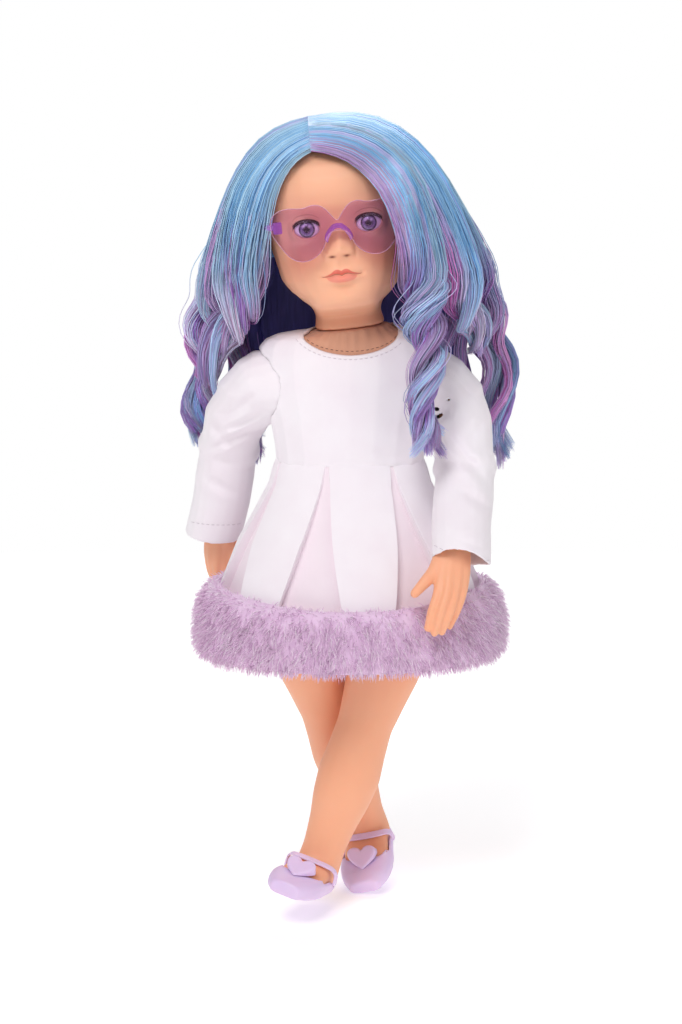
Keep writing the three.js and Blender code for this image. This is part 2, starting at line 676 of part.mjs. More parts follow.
// Rounded end of a limb: rings of a dome about the joint, from its pole to its equator.
function domeRings(radius, count, rings) {
  return steps(0.14, Math.PI / 2, rings).map((a) =>
    ringAt(V(0, 0, radius * Math.cos(a)), V(1, 0, 0), V(0, 1, 0), radius * Math.sin(a),
      radius * Math.sin(a), count));
}

// Arm of the doll's left side, hanging from its joint, with the elbow bent forward and inward.
const foreArm = V(0, 0, -1)
  .applyAxisAngle(V(1, 0, 0), -rad(ARM.bend))
  .applyAxisAngle(V(0, 1, 0), rad(ARM.inward));
const elbow = V(0, 0, -ARM.upper);
const wrist = elbow.clone().addScaledVector(foreArm, ARM.fore);

// Place along the arm at a distance from the shoulder, rounded over the elbow.
function alongArm(distance) {
  const round = 14;
  const over = distance - ARM.upper;
  if (over < -round) return V(0, 0, -distance);
  if (over > round) return elbow.clone().addScaledVector(foreArm, over);
  const t = (over + round) / (2 * round);
  const before = V(0, 0, -ARM.upper + round);
  const after = elbow.clone().addScaledVector(foreArm, round);
  return before.multiplyScalar((1 - t) ** 2)
    .addScaledVector(elbow, 2 * t * (1 - t))
    .addScaledVector(after, t * t);
}

function armFrame(distance) {
  const along = alongArm(distance + 1).sub(alongArm(distance - 1)).normalize();
  const u = V(1, 0, 0).addScaledVector(along, -along.x).normalize();
  return { center: alongArm(distance), along, u, v: u.clone().cross(along).normalize() };
}

const armRadius = profile([
  [5, Math.sqrt(SHOULDER_BALL ** 2 - 5 ** 2)], [9, Math.sqrt(SHOULDER_BALL ** 2 - 9 ** 2)],
  [13, ARM.top - 2], [19, ARM.top], [40, ARM.top - 1], [ARM.upper, ARM.elbow - 0.6],
  [ARM.upper + 16, ARM.elbow], [ARM.upper + ARM.fore - 14, ARM.wrist + 0.6],
  [ARM.upper + ARM.fore, ARM.wrist - 1], [ARM.upper + ARM.fore + 10, ARM.wrist],
]);

function finger(from, along, bend, length, radius) {
  const stations = steps(0, 1, 4);
  const side = along.clone().cross(bend).normalize();
  return skin(stations.map((t) => {
    const center = from.clone()
      .addScaledVector(along, length * t)
      .addScaledVector(bend, length * 0.22 * t * t);
    const r = radius * (1 - 0.32 * t ** 3);
    return ringAt(center, side, bend, t === 1 ? r * 0.6 : r, t === 1 ? r * 0.6 : r, 6);
  }));
}

function arm() {
  const reach = ARM.upper + ARM.fore;
  const rings = [5, 9, 13, 19, 34, 48, ARM.upper, 68, 80, 92, 102, reach].map((d) => {
    const { center, u, v } = armFrame(d);
    const thin = THREE.MathUtils.smoothstep(d, reach - 25, reach);
    return ringAt(center, u, v, armRadius(d), armRadius(d) * (1 - 0.22 * thin), 12);
  });
  const { center, along, u, v } = armFrame(reach);
  const palmLength = ARM.hand * 0.47;
  const palm = [0.33, 0.66, 1].map((t) => ringAt(
    center.clone().addScaledVector(along, palmLength * t), u, v, ARM.wrist - 1 + 2 * t, 6.6 - 1.9 * t, 12));
  const whole = skin([...domeRings(SHOULDER_BALL, 12, 5), ...rings, ...palm]);
  const knuckles = center.clone().addScaledVector(along, palmLength - 2);
  const toPalm = v.clone().multiplyScalar(v.y > 0 ? 1 : -1);
  const fingers = [[-7.3, 0.42], [-2.5, 0.52], [2.3, 0.49], [6.9, 0.39]].map(([x, share]) => finger(
    knuckles.clone().addScaledVector(u, x), along.clone().addScaledVector(u, -x * 0.018).normalize(),
    toPalm, ARM.hand * share + 2, 2.75));
  const thumbRoot = center.clone().addScaledVector(along, 3).addScaledVector(u, -5);
  const thumb = finger(thumbRoot, along.clone().addScaledVector(u, -0.75).normalize(), toPalm,
    ARM.hand * 0.46, 3.3);
  return join(whole, ...fingers, thumb);
}

function posed(geometry, side, center, { forward, out, turn }) {
  const pose = new THREE.Group();
  pose.position.copy(center);
  pose.rotation.set(-rad(forward), -rad(out) * side, rad(turn) * side, "XYZ");
  return fromGroup(pose, side > 0 ? geometry : mirrored(geometry));
}

for (const [side, name, pose] of [[1, "left", LEFT_ARM], [-1, "right", RIGHT_ARM]]) {
  const limb = posed(arm(), side, shoulderAt(side), pose);
  place(`${name}_arm`, cut(limb, cordRoom(shoulderAt(side), shoulderPole(side), SHOULDER_BALL)), skinVinyl);
}

// Leg of either side, straight from its joint to the sole, toes forward.
const legHalfWidth = profile([
  [8, Math.sqrt(HIP_BALL ** 2 - 8 ** 2)], [15, Math.sqrt(HIP_BALL ** 2 - 15 ** 2)], [24, 20.5],
  [31, LEG.thigh], [45, LEG.thigh - 1], [64, 18.4], [LEG.kneeAt, LEG.knee], [94, 17.2],
  [LEG.calfAt, LEG.calf], [127, 16.9], [142, 13.9],
  [LEG.ankleAt, LEG.ankle], [LEG.length - FOOT.height + 8, LEG.ankle + 0.6],
]);
const legShift = profile([
  [0, 0], [LEG.kneeAt, -0.8], [LEG.calfAt, 1.4], [LEG.ankleAt, 0.6], [LEG.length, 0],
]);

// Foot sections from heel to toe: half width, top and underside above the sole.
const footWidth = profile([
  [-FOOT.toe, 7], [-FOOT.toe + 3, 10.6], [-34, 13.4], [-26, FOOT.width], [-12, 12.8], [0, 11.6],
  [FOOT.heel - 4, 9.6], [FOOT.heel, 5.5],
]);
const footTop = profile([
  [-FOOT.toe, 6], [-FOOT.toe + 4, 8.6], [-34, 10.6], [-26, 13], [-16, 18], [-8, FOOT.height + 2],
  [FOOT.heel, FOOT.height],
]);

function footSolid(grow, top = 0) {
  const stations = [...steps(-FOOT.toe, -30, 4), -22, -15, -8, 0, FOOT.heel - 4, FOOT.heel];
  return skin(stations.map((y, i) => {
    const edge = i === 0 ? -grow : i === stations.length - 1 ? grow : 0;
    const width = footWidth(y) + grow;
    const high = footTop(y) + grow + top;
    const low = SHOE.sole - grow;
    return Array.from({ length: 14 }, (_, k) => {
      const a = (2 * Math.PI * k) / 14;
      const power = 2.6;
      const size = (Math.abs(Math.cos(a)) ** power + Math.abs(Math.sin(a)) ** power) ** (-1 / power);
      return V(width * size * Math.cos(a), y + edge,
        -LEG.length + (high + low) / 2 + ((high - low) / 2) * size * Math.sin(a));
    });
  }));
}

function shank(grow, from) {
  const levels = [
    8, 15, 20, 25, 32, 46, 62, LEG.kneeAt, 94, LEG.calfAt, 125, 140, LEG.ankleAt,
    LEG.length - 16, LEG.length - 8,
  ].filter((d) => d >= from).sort((a, b) => a - b);
  const rings = levels.map((d) => ringAt(V(0, legShift(d), -d), V(1, 0, 0), V(0, 1, 0),
    legHalfWidth(d) + grow, (legHalfWidth(d) + grow) * 1.04, 14));
  return skin(from > 0 ? rings : [...domeRings(HIP_BALL, 14, 5), ...rings]);
}

function leg(side, pose) {
  const limb = posed(join(shank(0, 0), footSolid(0)), side, hipAt(side), pose);
  return cut(limb, cordRoom(hipAt(side), hipPole(side), HIP_BALL));
}

// Shoe: a soft moulding round the foot, open over the instep, with a flat sole.
function shoeOuter(grow = 0) {
  const foot = SHOE.wall + FIT + grow;
  const stations = [...steps(-FOOT.toe, -30, 4), -22, -14, -6, 2, FOOT.heel - 4, FOOT.heel];
  return skin(stations.map((y, i) => {
    const edge = i === 0 ? -foot : i === stations.length - 1 ? foot : 0;
    const width = footWidth(y) + foot;
    const high = Math.min(footTop(y), SHOE.throatHeight) + foot + 0.4;
    return Array.from({ length: 18 }, (_, k) => {
      const a = (2 * Math.PI * k) / 18;
      const power = Math.sin(a) < 0 ? 5 : 2.4;
      const size = (Math.abs(Math.cos(a)) ** power + Math.abs(Math.sin(a)) ** power) ** (-1 / power);
      return V(width * size * Math.cos(a), y + edge,
        -LEG.length + high / 2 + (high / 2) * size * Math.sin(a) - grow * (Math.sin(a) < 0 ? 1 : 0));
    });
  }));
}

function shoe() {
  const floor = -LEG.length;
  const throat = new THREE.Shape();
  const half = FOOT.width - 1.2;
  throat.moveTo(-half, FOOT.heel + 4);
  throat.lineTo(-half, -16);
  throat.quadraticCurveTo(-half, -SHOE.throatFront, 0, -SHOE.throatFront);
  throat.quadraticCurveTo(half, -SHOE.throatFront, half, -16);
  throat.lineTo(half, FOOT.heel + 4);
  const mouth = new THREE.ExtrudeGeometry(throat, { depth: 30, bevelEnabled: false, curveSegments: 6 })
    .translate(0, 0, floor + 6);
  const above = block(60, 80, 30, 0, 0, floor + SHOE.throatHeight + 15);
  const below = block(60, 120, 10, 0, -15, floor - 5 + SOLE_FLAT);
  return cut(shoeOuter(), footSolid(FIT), shank(FIT, 125), mouth, above, below);
}

// Strap: an arch over the instep whose ends lap down outside the shoe.
function strap() {
  const half = FOOT.width + SHOE.wall - 0.6;
  const low = SHOE.throatHeight - STRAP.lap;
  const rings = steps(0, Math.PI, 17).map((a) => {
    const y = -8 - 7.5 * Math.sin(a);
    const top = footTop(y) + FIT + 0.3;
    const x = half * Math.sign(Math.cos(a)) * Math.abs(Math.cos(a)) ** 0.7;
    const z = -LEG.length + low + (top - low) * Math.sin(a) ** 0.6;
    const out = V(Math.cos(a), -0.35 * Math.sin(a), Math.sin(a)).normalize();
    const across = V(0, 1, 0.35 * Math.sin(a)).normalize();
    return [[0, -1], [1, -1], [1, 1], [0, 1]].map(([r, w]) => V(x, y, z)
      .addScaledVector(out, r * STRAP.thickness).addScaledVector(across, (w * STRAP.width) / 2));
  });
  return cut(skin(rings), shoeOuter(0.3), footSolid(0.3), shank(0.3, 125));
}

// Heart: a thick raised heart lying on the toe of the shoe.
function heart() {
  const s = HEART.size / 16;
  const outline = new THREE.Shape();
  outline.moveTo(0, 4 * s);
  outline.bezierCurveTo(2 * s, 7.6 * s, 8.4 * s, 7 * s, 8 * s, 2.4 * s);
  outline.bezierCurveTo(7.4 * s, -2.2 * s, 2.4 * s, -4.4 * s, 0, -7.4 * s);
  outline.bezierCurveTo(-2.4 * s, -4.4 * s, -7.4 * s, -2.2 * s, -8 * s, 2.4 * s);
  outline.bezierCurveTo(-8.4 * s, 7 * s, -2 * s, 7.6 * s, 0, 4 * s);
  const depth = HEART.thickness + 4;
  const plate = new THREE.ExtrudeGeometry(outline, {
    depth, bevelEnabled: true, bevelThickness: 1.2, bevelSize: 1.2, bevelSegments: 2, bevelOffset: -1.2,
    curveSegments: 5,
  });
  const slope = rad(HEART.slope);
  const front = V(0, -SHOE.throatFront - 5, SHOE.throatHeight + 4.8 - LEG.length);
  const placed = plate.translate(0, 0, -depth - 1.2).rotateX(slope).translate(...front);
  return cut(placed, shoeOuter(0.3), footSolid(0.8));
}

for (const [side, name, pose] of [[1, "left", LEFT_LEG], [-1, "right", RIGHT_LEG]]) {
  const stance = { forward: pose.forward, out: -pose.inward, turn: pose.toe * side };
  place(`${name}_leg`, leg(side, stance), skinVinyl);
  place(`${name}_shoe`, posed(shoe(), side, hipAt(side), stance), shoeVinyl);
  place(`${name}_strap`, posed(strap(), side, hipAt(side), stance), shoeVinyl);
  place(`${name}_shoe_heart`, posed(heart(), side, hipAt(side), stance), shoeVinyl);
}

// Dress bodice: a cloth shell over the chest, open at neck, armholes, waist and down the back.
const onBody = (x, y, z, grow) => {
  const depth = bodyDepth(z) + grow;
  const rest = 1 - Math.min(1, Math.abs(y) / depth) ** BODY_FULLNESS;
  return Math.sign(x) * (bodyWidth(z) + grow) * rest ** (1 / BODY_FULLNESS);
};
const ARMHOLE_Z = 304;
const BACK_SLIT_X = 2;

function bodice() {
  const levels = [WAIST_SEAM_Z + 0.3, 268, 280, 292, CHEST.z, 314, 321, 326, 329, 331, 332.5, 334, 336];
  const outside = skin(levels.map((z) => bodyRing(z, CLOTH_GAP + CLOTH)));
  const inside = skin([WAIST_SEAM_Z - 1, ...levels.slice(1), 338].map((z) => bodyRing(z, CLOTH_GAP)));
  const neckHole = new THREE.CylinderGeometry(1, 1, 4 * CHEST.depth, 28)
    .rotateX(Math.PI / 2)
    .scale(NECKLINE.halfWidth, 1, NECKLINE.drop)
    .translate(0, 0, NECK_Z);
  const armholes = new THREE.CylinderGeometry(1, 1, 200, 24)
    .rotateZ(Math.PI / 2)
    .scale(1, ARMHOLE.depth, ARMHOLE.height)
    .translate(0, 0, ARMHOLE_Z);
  const slit = block(0.6, 60, 90, BACK_SLIT_X, 30, WAIST_SEAM_Z + 45 + 3);
  return cut(outside, inside, neckHole, armholes, slit);
}

// Layers of the back opening, each a strip that follows the back of the bodice.
function backStrip(from, to, lift, thickness) {
  const levels = steps(WAIST_SEAM_Z + 5, WAIST_SEAM_Z + 5 + TAPE.length, 6);
  return skin(levels.map((z) => {
    const at = (x, out) => {
      const grow = CLOTH_GAP + CLOTH + out;
      const width = bodyWidth(z) + grow;
      const share = (1 - (Math.abs(x) / width) ** BODY_FULLNESS) ** (1 / BODY_FULLNESS);
      return V(x, (bodyDepth(z) + grow) * share, z);
    };
    const middle = (from + to) / 2;
    return [at(from, lift), at(middle, lift), at(to, lift), at(to, lift + thickness),
      at(middle, lift + thickness), at(from, lift + thickness)];
  }));
}

// How far the sleeve hangs outward of the arm along its length.
const looseness = profile([[20, 2.4], [60, 0.8], [85, 1.4], [ARM.upper + ARM.fore, 5]]);

// Sleeve: cloth from the armhole over the cap of the shoulder and down the arm to the cuff.
function sleeve(side, pose) {
  const at = (distance) => {
    const { center, u, v } = armFrame(distance);
    const frame = new THREE.Group();
    frame.position.copy(shoulderAt(side));
    frame.rotation.set(-rad(pose.forward), -rad(pose.out) * side, rad(pose.turn) * side, "XYZ");
    frame.updateMatrixWorld(true);
    const turned = (p) => (side > 0 ? p : V(-p.x, p.y, p.z)).clone();
    return {
      center: turned(center).applyMatrix4(frame.matrixWorld),
      out: turned(u).applyQuaternion(frame.quaternion),
      fore: turned(v.y < 0 ? v : v.clone().negate()).applyQuaternion(frame.quaternion),
    };
  };
  const count = 18;
  const ring = (grow) => {
    const angles = Array.from({ length: count }, (_, i) => (2 * Math.PI * i) / count);
    const armhole = angles.map((a) => {
      const y = -(ARMHOLE.depth - grow) * Math.cos(a);
      const z = ARMHOLE_Z + (ARMHOLE.height - grow) * Math.sin(a);
      return V(onBody(side, y, z, CLOTH_GAP + CLOTH) + side * 0.4, y, z);
    });
    // A ring from a place under the arm to a place over it.
    const across = (under, over, y, deep) => {
      const span = V(over[0] - under[0], 0, over[1] - under[1]);
      const center = V(side * (over[0] + under[0]) / 2, y, (over[1] + under[1]) / 2);
      const up = V(side * span.x, 0, span.z).normalize();
      return ringAt(center, V(0, -1, 0), up, deep - grow, span.length() / 2 - grow, count);
    };
    const cap = [
      across([46.9, 283], [65, 323], at(3).center.y, ARMHOLE.depth + 1),
      across([47, 281], [76, 312], at(12).center.y, ARMHOLE.depth + 1),
    ];
    const folds = { 30: 0.3, 48: -0.5, 56: 1.4, 62: -0.7 };
    const down = [30, 48, 56, 62, 74, 90, ARM.upper + ARM.fore - SLEEVE.stop].map((d) => {
      const { center, out, fore } = at(d);
      const loose = looseness(d);
      const size = THREE.MathUtils.lerp(SLEEVE.elbow, SLEEVE.cuff, THREE.MathUtils.smoothstep(d, 60, 105));
      const fold = folds[d] ?? 0;
      return ringAt(center.addScaledVector(out, loose), fore, out, size - grow - fold * 0.4,
        size - grow + fold, count);
    });
    return [armhole, ...cap, ...down];
  };
  return hoop([...ring(0), ...ring(SLEEVE.wall).reverse()]);
}

const tapeEdge = BACK_SLIT_X - 1 - TAPE.width;
place("bodice", bodice(), dressCloth);
place("loop_tape", backStrip(tapeEdge, BACK_SLIT_X - 1, 0.3, TAPE.thickness), tapeNylon);
place("hook_tape", backStrip(tapeEdge, BACK_SLIT_X - 1, 0.6 + TAPE.thickness, TAPE.thickness), tapeNylon);
place("back_flap", backStrip(tapeEdge, BACK_SLIT_X, 0.9 + 2 * TAPE.thickness, CLOTH), dressCloth);
place("left_sleeve", sleeve(1, LEFT_ARM), dressCloth);
place("right_sleeve", sleeve(-1, RIGHT_ARM), dressCloth);

// Skirt: a flared shell whose inverted pleats open from the waist seam to the fur.
const skirtWidth = profile([
  [SKIRT.hemZ, SKIRT.hemWidth], [SKIRT.edgeZ, 78.5], [188, 75.5], [212, 66], [233, 54.5], [246, 47.5],
  [WAIST_SEAM_Z, WAIST.width + 2 * CLOTH + 2 * CLOTH_GAP],
]);
const skirtDepth = profile([
  [SKIRT.hemZ, SKIRT.hemDepth], [SKIRT.edgeZ, 59], [188, 55.5], [212, 47], [233, 38.5], [246, 33],
  [WAIST_SEAM_Z, WAIST.depth + 2 * CLOTH + 2 * CLOTH_GAP],
]);
const FIRST_PLEAT = -107.6; // degrees from the doll's left round to its front

// Ring round the skirt at a level given for each direction, grown outward, pleated or plain.
function skirtRing(level, grow, pleated) {
  const across = [-0.5, -0.28, -0.1, 0, 0.1, 0.28];
  const ring = [];
  for (let pleat = 0; pleat < SKIRT.pleats; pleat += 1) {
    for (const share of across) {
      const angle = rad(FIRST_PLEAT) + (2 * Math.PI * (pleat + share)) / SKIRT.pleats;
      const z = level(angle);
      const drop = (WAIST_SEAM_Z - z) / (WAIST_SEAM_Z - SKIRT.edgeZ);
      const depth = pleated ? SKIRT.pleatDepth * THREE.MathUtils.smoothstep(drop, 0, 0.5) : 0;
      const opening = 0.05 + 0.11 * drop;
      const inward = depth * Math.max(0, 1 - Math.abs(share) / (opening * 2)) - grow;
      ring.push(V(Math.cos(angle) * (skirtWidth(z) - inward), Math.sin(angle) * (skirtDepth(z) - inward), z));
    }
  }
  return ring;
}

function skirt() {
  const levels = [WAIST_SEAM_Z, 252, 241, 226, 206, 191, SKIRT.edgeZ];
  const outside = levels.map((z) => skirtRing(() => z, 0, true));
  const inside = levels.map((z) => skirtRing(() => z, -CLOTH, true)).reverse();
  return hoop([...outside, ...inside]);
}

function furHem() {
  const t = FUR.thickness;
  const ledge = SKIRT.edgeZ - 0.4;
  const section = [
    [CLOTH_GAP, FUR.top], [t * 0.6, FUR.top - 0.5], [t * 0.95, FUR.top - 8], [t, 167], [t * 0.9, 154],
    [t * 0.5, FUR.bottom + 1], [0, FUR.bottom], [-CLOTH - 0.6, FUR.bottom + 3], [-CLOTH - 0.6, ledge],
    [CLOTH_GAP, ledge],
  ];
  return hoop(section.map(([out, z]) => {
    const dip = FUR.dip * THREE.MathUtils.smoothstep(z, ledge, FUR.top);
    return skirtRing((angle) => z - dip * Math.max(0, -Math.sin(angle)) ** 2, out, false);
  }));
}

place("skirt", skirt(), dressCloth);
place("fur_hem", furHem(), furPlush);

// Hair: two combed halves over the skull either side of the parting, a back curtain and waved locks.
const hairWidth = profile([
  [CROWN_EDGE - 2, 76], [60, 71], [71, 66.5], [83.5, 60.5], [95, 53], [106.6, 45], [113, 38], [118, 29],
  [121.5, 18], [HAIR_TOP, 2],
]);
const hairFront = profile([
  [CROWN_EDGE - 2, 40], [60, 45], [80, 50], [95, 48], [106, 40], [113, 32], [118, 24], [121.5, 14],
  [HAIR_TOP, 2],
]);
const hairBack = profile([
  [CROWN_EDGE - 2, 64], [60, 66], [80, 63], [95, 56], [106, 46], [113, 37], [118, 28], [121.5, 17],
  [HAIR_TOP, 2],
]);

function crown(side) {
  const levels = [CROWN_EDGE, 54, 64, 74, 84, 94, 103, 110, 116, 120, HAIR_TOP];
  const bell = skin(levels.map((z) => oval({
    z, width: hairWidth(z), front: hairFront(z), back: hairBack(z), power: 2.1, count: 28,
  })));
  const opening = new THREE.Shape();
  const edge = LENS.halfWidth + 1.6;
  opening.moveTo(-edge, 20);
  opening.lineTo(-edge, LENS.height + 15);
  opening.quadraticCurveTo(-35, 90, PARTING_X + 0.5, 100.5);
  opening.quadraticCurveTo(12, 93, 24, LENS.height + 18);
  opening.lineTo(edge, LENS.height + 15);
  opening.lineTo(edge, 20);
  const face = new THREE.ExtrudeGeometry(opening, { depth: 60, bevelEnabled: false, curveSegments: 8 })
    .rotateX(Math.PI / 2)
    .translate(0, -18, 0);
  const channels = [-1, 1].map((s) => {
    return block(12, 86, TEMPLE.height + 8, s * (TEMPLE.spread - 2.3), -25, LENS.height + 1);
  });
  const other = block(200, 300, 300, PARTING_X - side * (100 - 0.2), 0, 100);
  return cut(bell, skull(1.4, 24), face, ...channels, other);
}

// One lock: a tapering wave along a route, flattened by the given share, hung under the crown.
function lock({ route, root, middle, tip, flat = 0.7, wave = 3, waves = 2 }) {
  const curve = new THREE.CatmullRomCurve3(route.map((p) => V(...p)));
  const thick = profile([[0, root], [0.45, middle], [1, tip]]);
  const rings = steps(0, 1, 13).map((t) => {
    const along = curve.getTangent(t);
    const u = V(1, 0, 0).addScaledVector(along, -along.x).normalize();
    const v = u.clone().cross(along).normalize();
    const sway = wave * Math.sin(2 * Math.PI * waves * t) * Math.min(1, 4 * t);
    const center = curve.getPoint(t).addScaledVector(u, sway);
    return ringAt(center, u, v, thick(t), thick(t) * flat, 8);
  });
  const above = block(300, 300, 100, 0, 0, CROWN_EDGE - 0.3 + 50);
  return cut(skin(rings), fromGroup(atHead, above));
}

const LOCKS = {
  hair_back: {
    route: [[-6, 55, 388], [-4, 55, 340], [-1, 54, 300], [0, 52, 262]],
    root: 34, middle: 37, tip: 30, flat: 0.18, wave: 0,
  },
  front_ringlet: {
    route: [[41, -30, 390], [42, -40, 345], [43, -46, 312], [44, -50, 274]],
    root: 11, middle: 13, tip: 9, flat: 0.85, waves: 3,
  },
  left_side_lock: {
    route: [[62, -6, 392], [63, -4, 352], [70, 6, 336], [80, 16, 318]],
    root: 13, middle: 12, tip: 7,
  },
  left_wave: {
    route: [[66, 24, 392], [74, 36, 350], [89, 44, 308], [88, 44, 246]],
    root: 14, middle: 13, tip: 5,
  },
  left_back_wave: {
    route: [[49, 48, 390], [57, 52, 345], [61, 54, 300], [56, 52, 262]],
    root: 13, middle: 14, tip: 7, flat: 0.5,
  },
  right_side_lock: {
    route: [[-68, -6, 380], [-69, -2, 350], [-76, 10, 330], [-86, 22, 308]],
    root: 13, middle: 12, tip: 7,
  },
  right_wave: {
    route: [[-66, 27, 380], [-78, 40, 340], [-92, 50, 306], [-94, 52, 268]],
    root: 15, middle: 13, tip: 5,
  },
  right_back_wave: {
    route: [[-55, 50, 380], [-60, 56, 340], [-64, 60, 300], [-60, 60, 262]],
    root: 13, middle: 14, tip: 7, flat: 0.5,
  },
};

place("hair_crown_left", crown(1), hairBlue, atHead);
place("hair_crown_right", crown(-1), hairBlue, atHead);
for (const [name, form] of Object.entries(LOCKS)) {
  place(name, lock(form), name.includes("side") ? hairViolet : hairBlue);
}

// The doll is set down with its lowest point on the floor and its middle over the origin.
const bounds = new THREE.Box3().setFromObject(doll, true);
const middle = bounds.getCenter(V(0, 0, 0));
doll.position.set(-middle.x, -middle.y, -bounds.min.z);

export default doll;
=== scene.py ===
import json
import math

import bmesh
import bpy
import numpy as np
from mathutils import Matrix, Vector
from mathutils.bvhtree import BVHTree


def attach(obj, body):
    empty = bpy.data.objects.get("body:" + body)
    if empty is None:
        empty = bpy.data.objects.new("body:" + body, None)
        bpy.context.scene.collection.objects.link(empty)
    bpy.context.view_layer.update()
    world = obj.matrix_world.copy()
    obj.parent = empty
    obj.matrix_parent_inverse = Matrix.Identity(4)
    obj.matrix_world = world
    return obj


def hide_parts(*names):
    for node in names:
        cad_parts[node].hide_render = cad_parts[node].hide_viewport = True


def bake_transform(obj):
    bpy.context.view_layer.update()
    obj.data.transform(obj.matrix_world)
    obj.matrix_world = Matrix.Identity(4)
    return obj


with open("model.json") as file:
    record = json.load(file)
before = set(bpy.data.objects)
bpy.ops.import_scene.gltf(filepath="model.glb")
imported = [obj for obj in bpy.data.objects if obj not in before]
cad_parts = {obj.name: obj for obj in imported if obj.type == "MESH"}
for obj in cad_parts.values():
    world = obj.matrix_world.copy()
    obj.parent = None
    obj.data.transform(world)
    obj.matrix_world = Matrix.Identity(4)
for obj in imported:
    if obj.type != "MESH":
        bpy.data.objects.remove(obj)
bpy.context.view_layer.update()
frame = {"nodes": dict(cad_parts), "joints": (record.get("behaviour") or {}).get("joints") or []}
scene = bpy.context.scene
joints = {joint["name"]: joint for joint in frame["joints"]}

# Where the doll stands: the neck's joint gives the middle of the body and the lean of the head.
# Places in millimetres are measured from the floor under that middle, or up the head from the neck.
neck = Vector(joints["neck_turn"]["pos_m"])
up = Vector(joints["neck_turn"]["axis"])
lean = -math.asin(up.x)
NECK_HEIGHT = 337
stand = neck - Vector((0, 0, NECK_HEIGHT / 1000))
head_frame = Matrix.Translation(neck) @ Matrix.Rotation(-lean, 4, "Y") @ Matrix.Scale(0.001, 4)
to_head = head_frame.inverted()


def in_head(points):
    """Points in metres as millimetres in the head's own frame."""
    turned = np.array(to_head)
    return points @ turned[:3, :3].T + turned[:3, 3]


def from_head(points):
    """Points in millimetres of the head's frame as metres."""
    turned = np.array(head_frame)
    return points @ turned[:3, :3].T + turned[:3, 3]


# Studio: a pale sweep of card on the floor, one large soft lamp high on the left, a weak one
# on the right and one behind the head. The camera looks down nine degrees from 1.8 m away.
FLOOR_WIDTH = 2.4
floor_card = bpy.data.meshes.new("floor_card")
card = bmesh.new()
bmesh.ops.create_grid(card, x_segments=1, y_segments=1, size=FLOOR_WIDTH / 2)
card.to_mesh(floor_card)
card.free()
floor = bpy.data.objects.new("floor_card", floor_card)
scene.collection.objects.link(floor)


def linear(code):
    """An sRGB hex colour as linear red, green, blue and a full alpha."""
    shares = [int(code[i:i + 2], 16) / 255 for i in (0, 2, 4)]
    return [s / 12.92 if s <= 0.04045 else ((s + 0.055) / 1.055) ** 2.4 for s in shares] + [1.0]


def add(material, kind, inputs=None, **settings):
    """Adds one node with its settings; an input is a value or another node's output."""
    node = material.node_tree.nodes.new(kind)
    for name, value in settings.items():
        setattr(node, name, value)
    for name, value in (inputs or {}).items():
        if isinstance(value, bpy.types.NodeSocket):
            material.node_tree.links.new(value, node.inputs[name])
        else:
            node.inputs[name].default_value = value
    return node


def finish_of(name, colour, roughness, **sockets):
    """A material with one Principled shader; a linked socket is given as another node's output."""
    material = bpy.data.materials.new(name)
    material.use_nodes = True
    shader = material.node_tree.nodes["Principled BSDF"]
    shader.inputs["Base Color"].default_value = linear(colour)
    shader.inputs["Roughness"].default_value = roughness
    for socket, value in sockets.items():
        shader.inputs[socket.replace("_", " ")].default_value = value
    return material, shader


def paint(material, shader, **outputs):
    """Links outputs of pattern nodes to the shader's sockets."""
    for socket, output in outputs.items():
        material.node_tree.links.new(output, shader.inputs[socket.replace("_", " ")])


def place_on(material):
    """Places on a piece in its own metres, for a pattern to lie on."""
    return add(material, "ShaderNodeTexCoord").outputs["Object"]


def noise(material, place, scale, detail=2.0):
    return add(material, "ShaderNodeTexNoise", {"Vector": place, "Scale": scale, "Detail": detail}).outputs["Fac"]


def bumps(material, height, strength, distance):
    """A relief that stands up to a distance in metres."""
    inputs = {"Height": height, "Strength": strength, "Distance": distance}
    return add(material, "ShaderNodeBump", inputs).outputs["Normal"]


def ranged(material, value, low, high):
    """Shares from nothing to one as values between two others."""
    inputs = {"Value": value, "To Min": low, "To Max": high}
    return add(material, "ShaderNodeMapRange", inputs).outputs["Result"]


card_matt, card_shader = finish_of(
    "matt_paper", "F6F5F6", 0.9, Emission_Color=(1, 1, 1, 1), Emission_Strength=0.3,
)
card_grain = noise(card_matt, place_on(card_matt), 40.0)
paint(card_matt, card_shader, Normal=bumps(card_matt, card_grain, 0.03, 0.0005))
floor_card.materials.append(card_matt)

ELEVATION = math.radians(9)
DISTANCE = 1.8
AIM_HEIGHT = 0.232
FRAME_HEIGHT = 1024
FOCAL_PIXELS = 3100
SHIFT_PIXELS = (-9, -6.33)
aim = stand + Vector((0, 0, AIM_HEIGHT))
camera_data = bpy.data.cameras.new("camera")
camera_data.sensor_fit = "VERTICAL"
camera_data.sensor_height = 36
camera_data.lens = FOCAL_PIXELS * 36 / FRAME_HEIGHT
camera_data.shift_x = SHIFT_PIXELS[0] / FRAME_HEIGHT
camera_data.shift_y = SHIFT_PIXELS[1] / FRAME_HEIGHT
camera = bpy.data.objects.new("camera", camera_data)
camera.location = aim + DISTANCE * Vector((0, -math.cos(ELEVATION), math.sin(ELEVATION)))
camera.rotation_euler = (math.pi / 2 - ELEVATION, 0, 0)
scene.collection.objects.link(camera)
scene.camera = camera

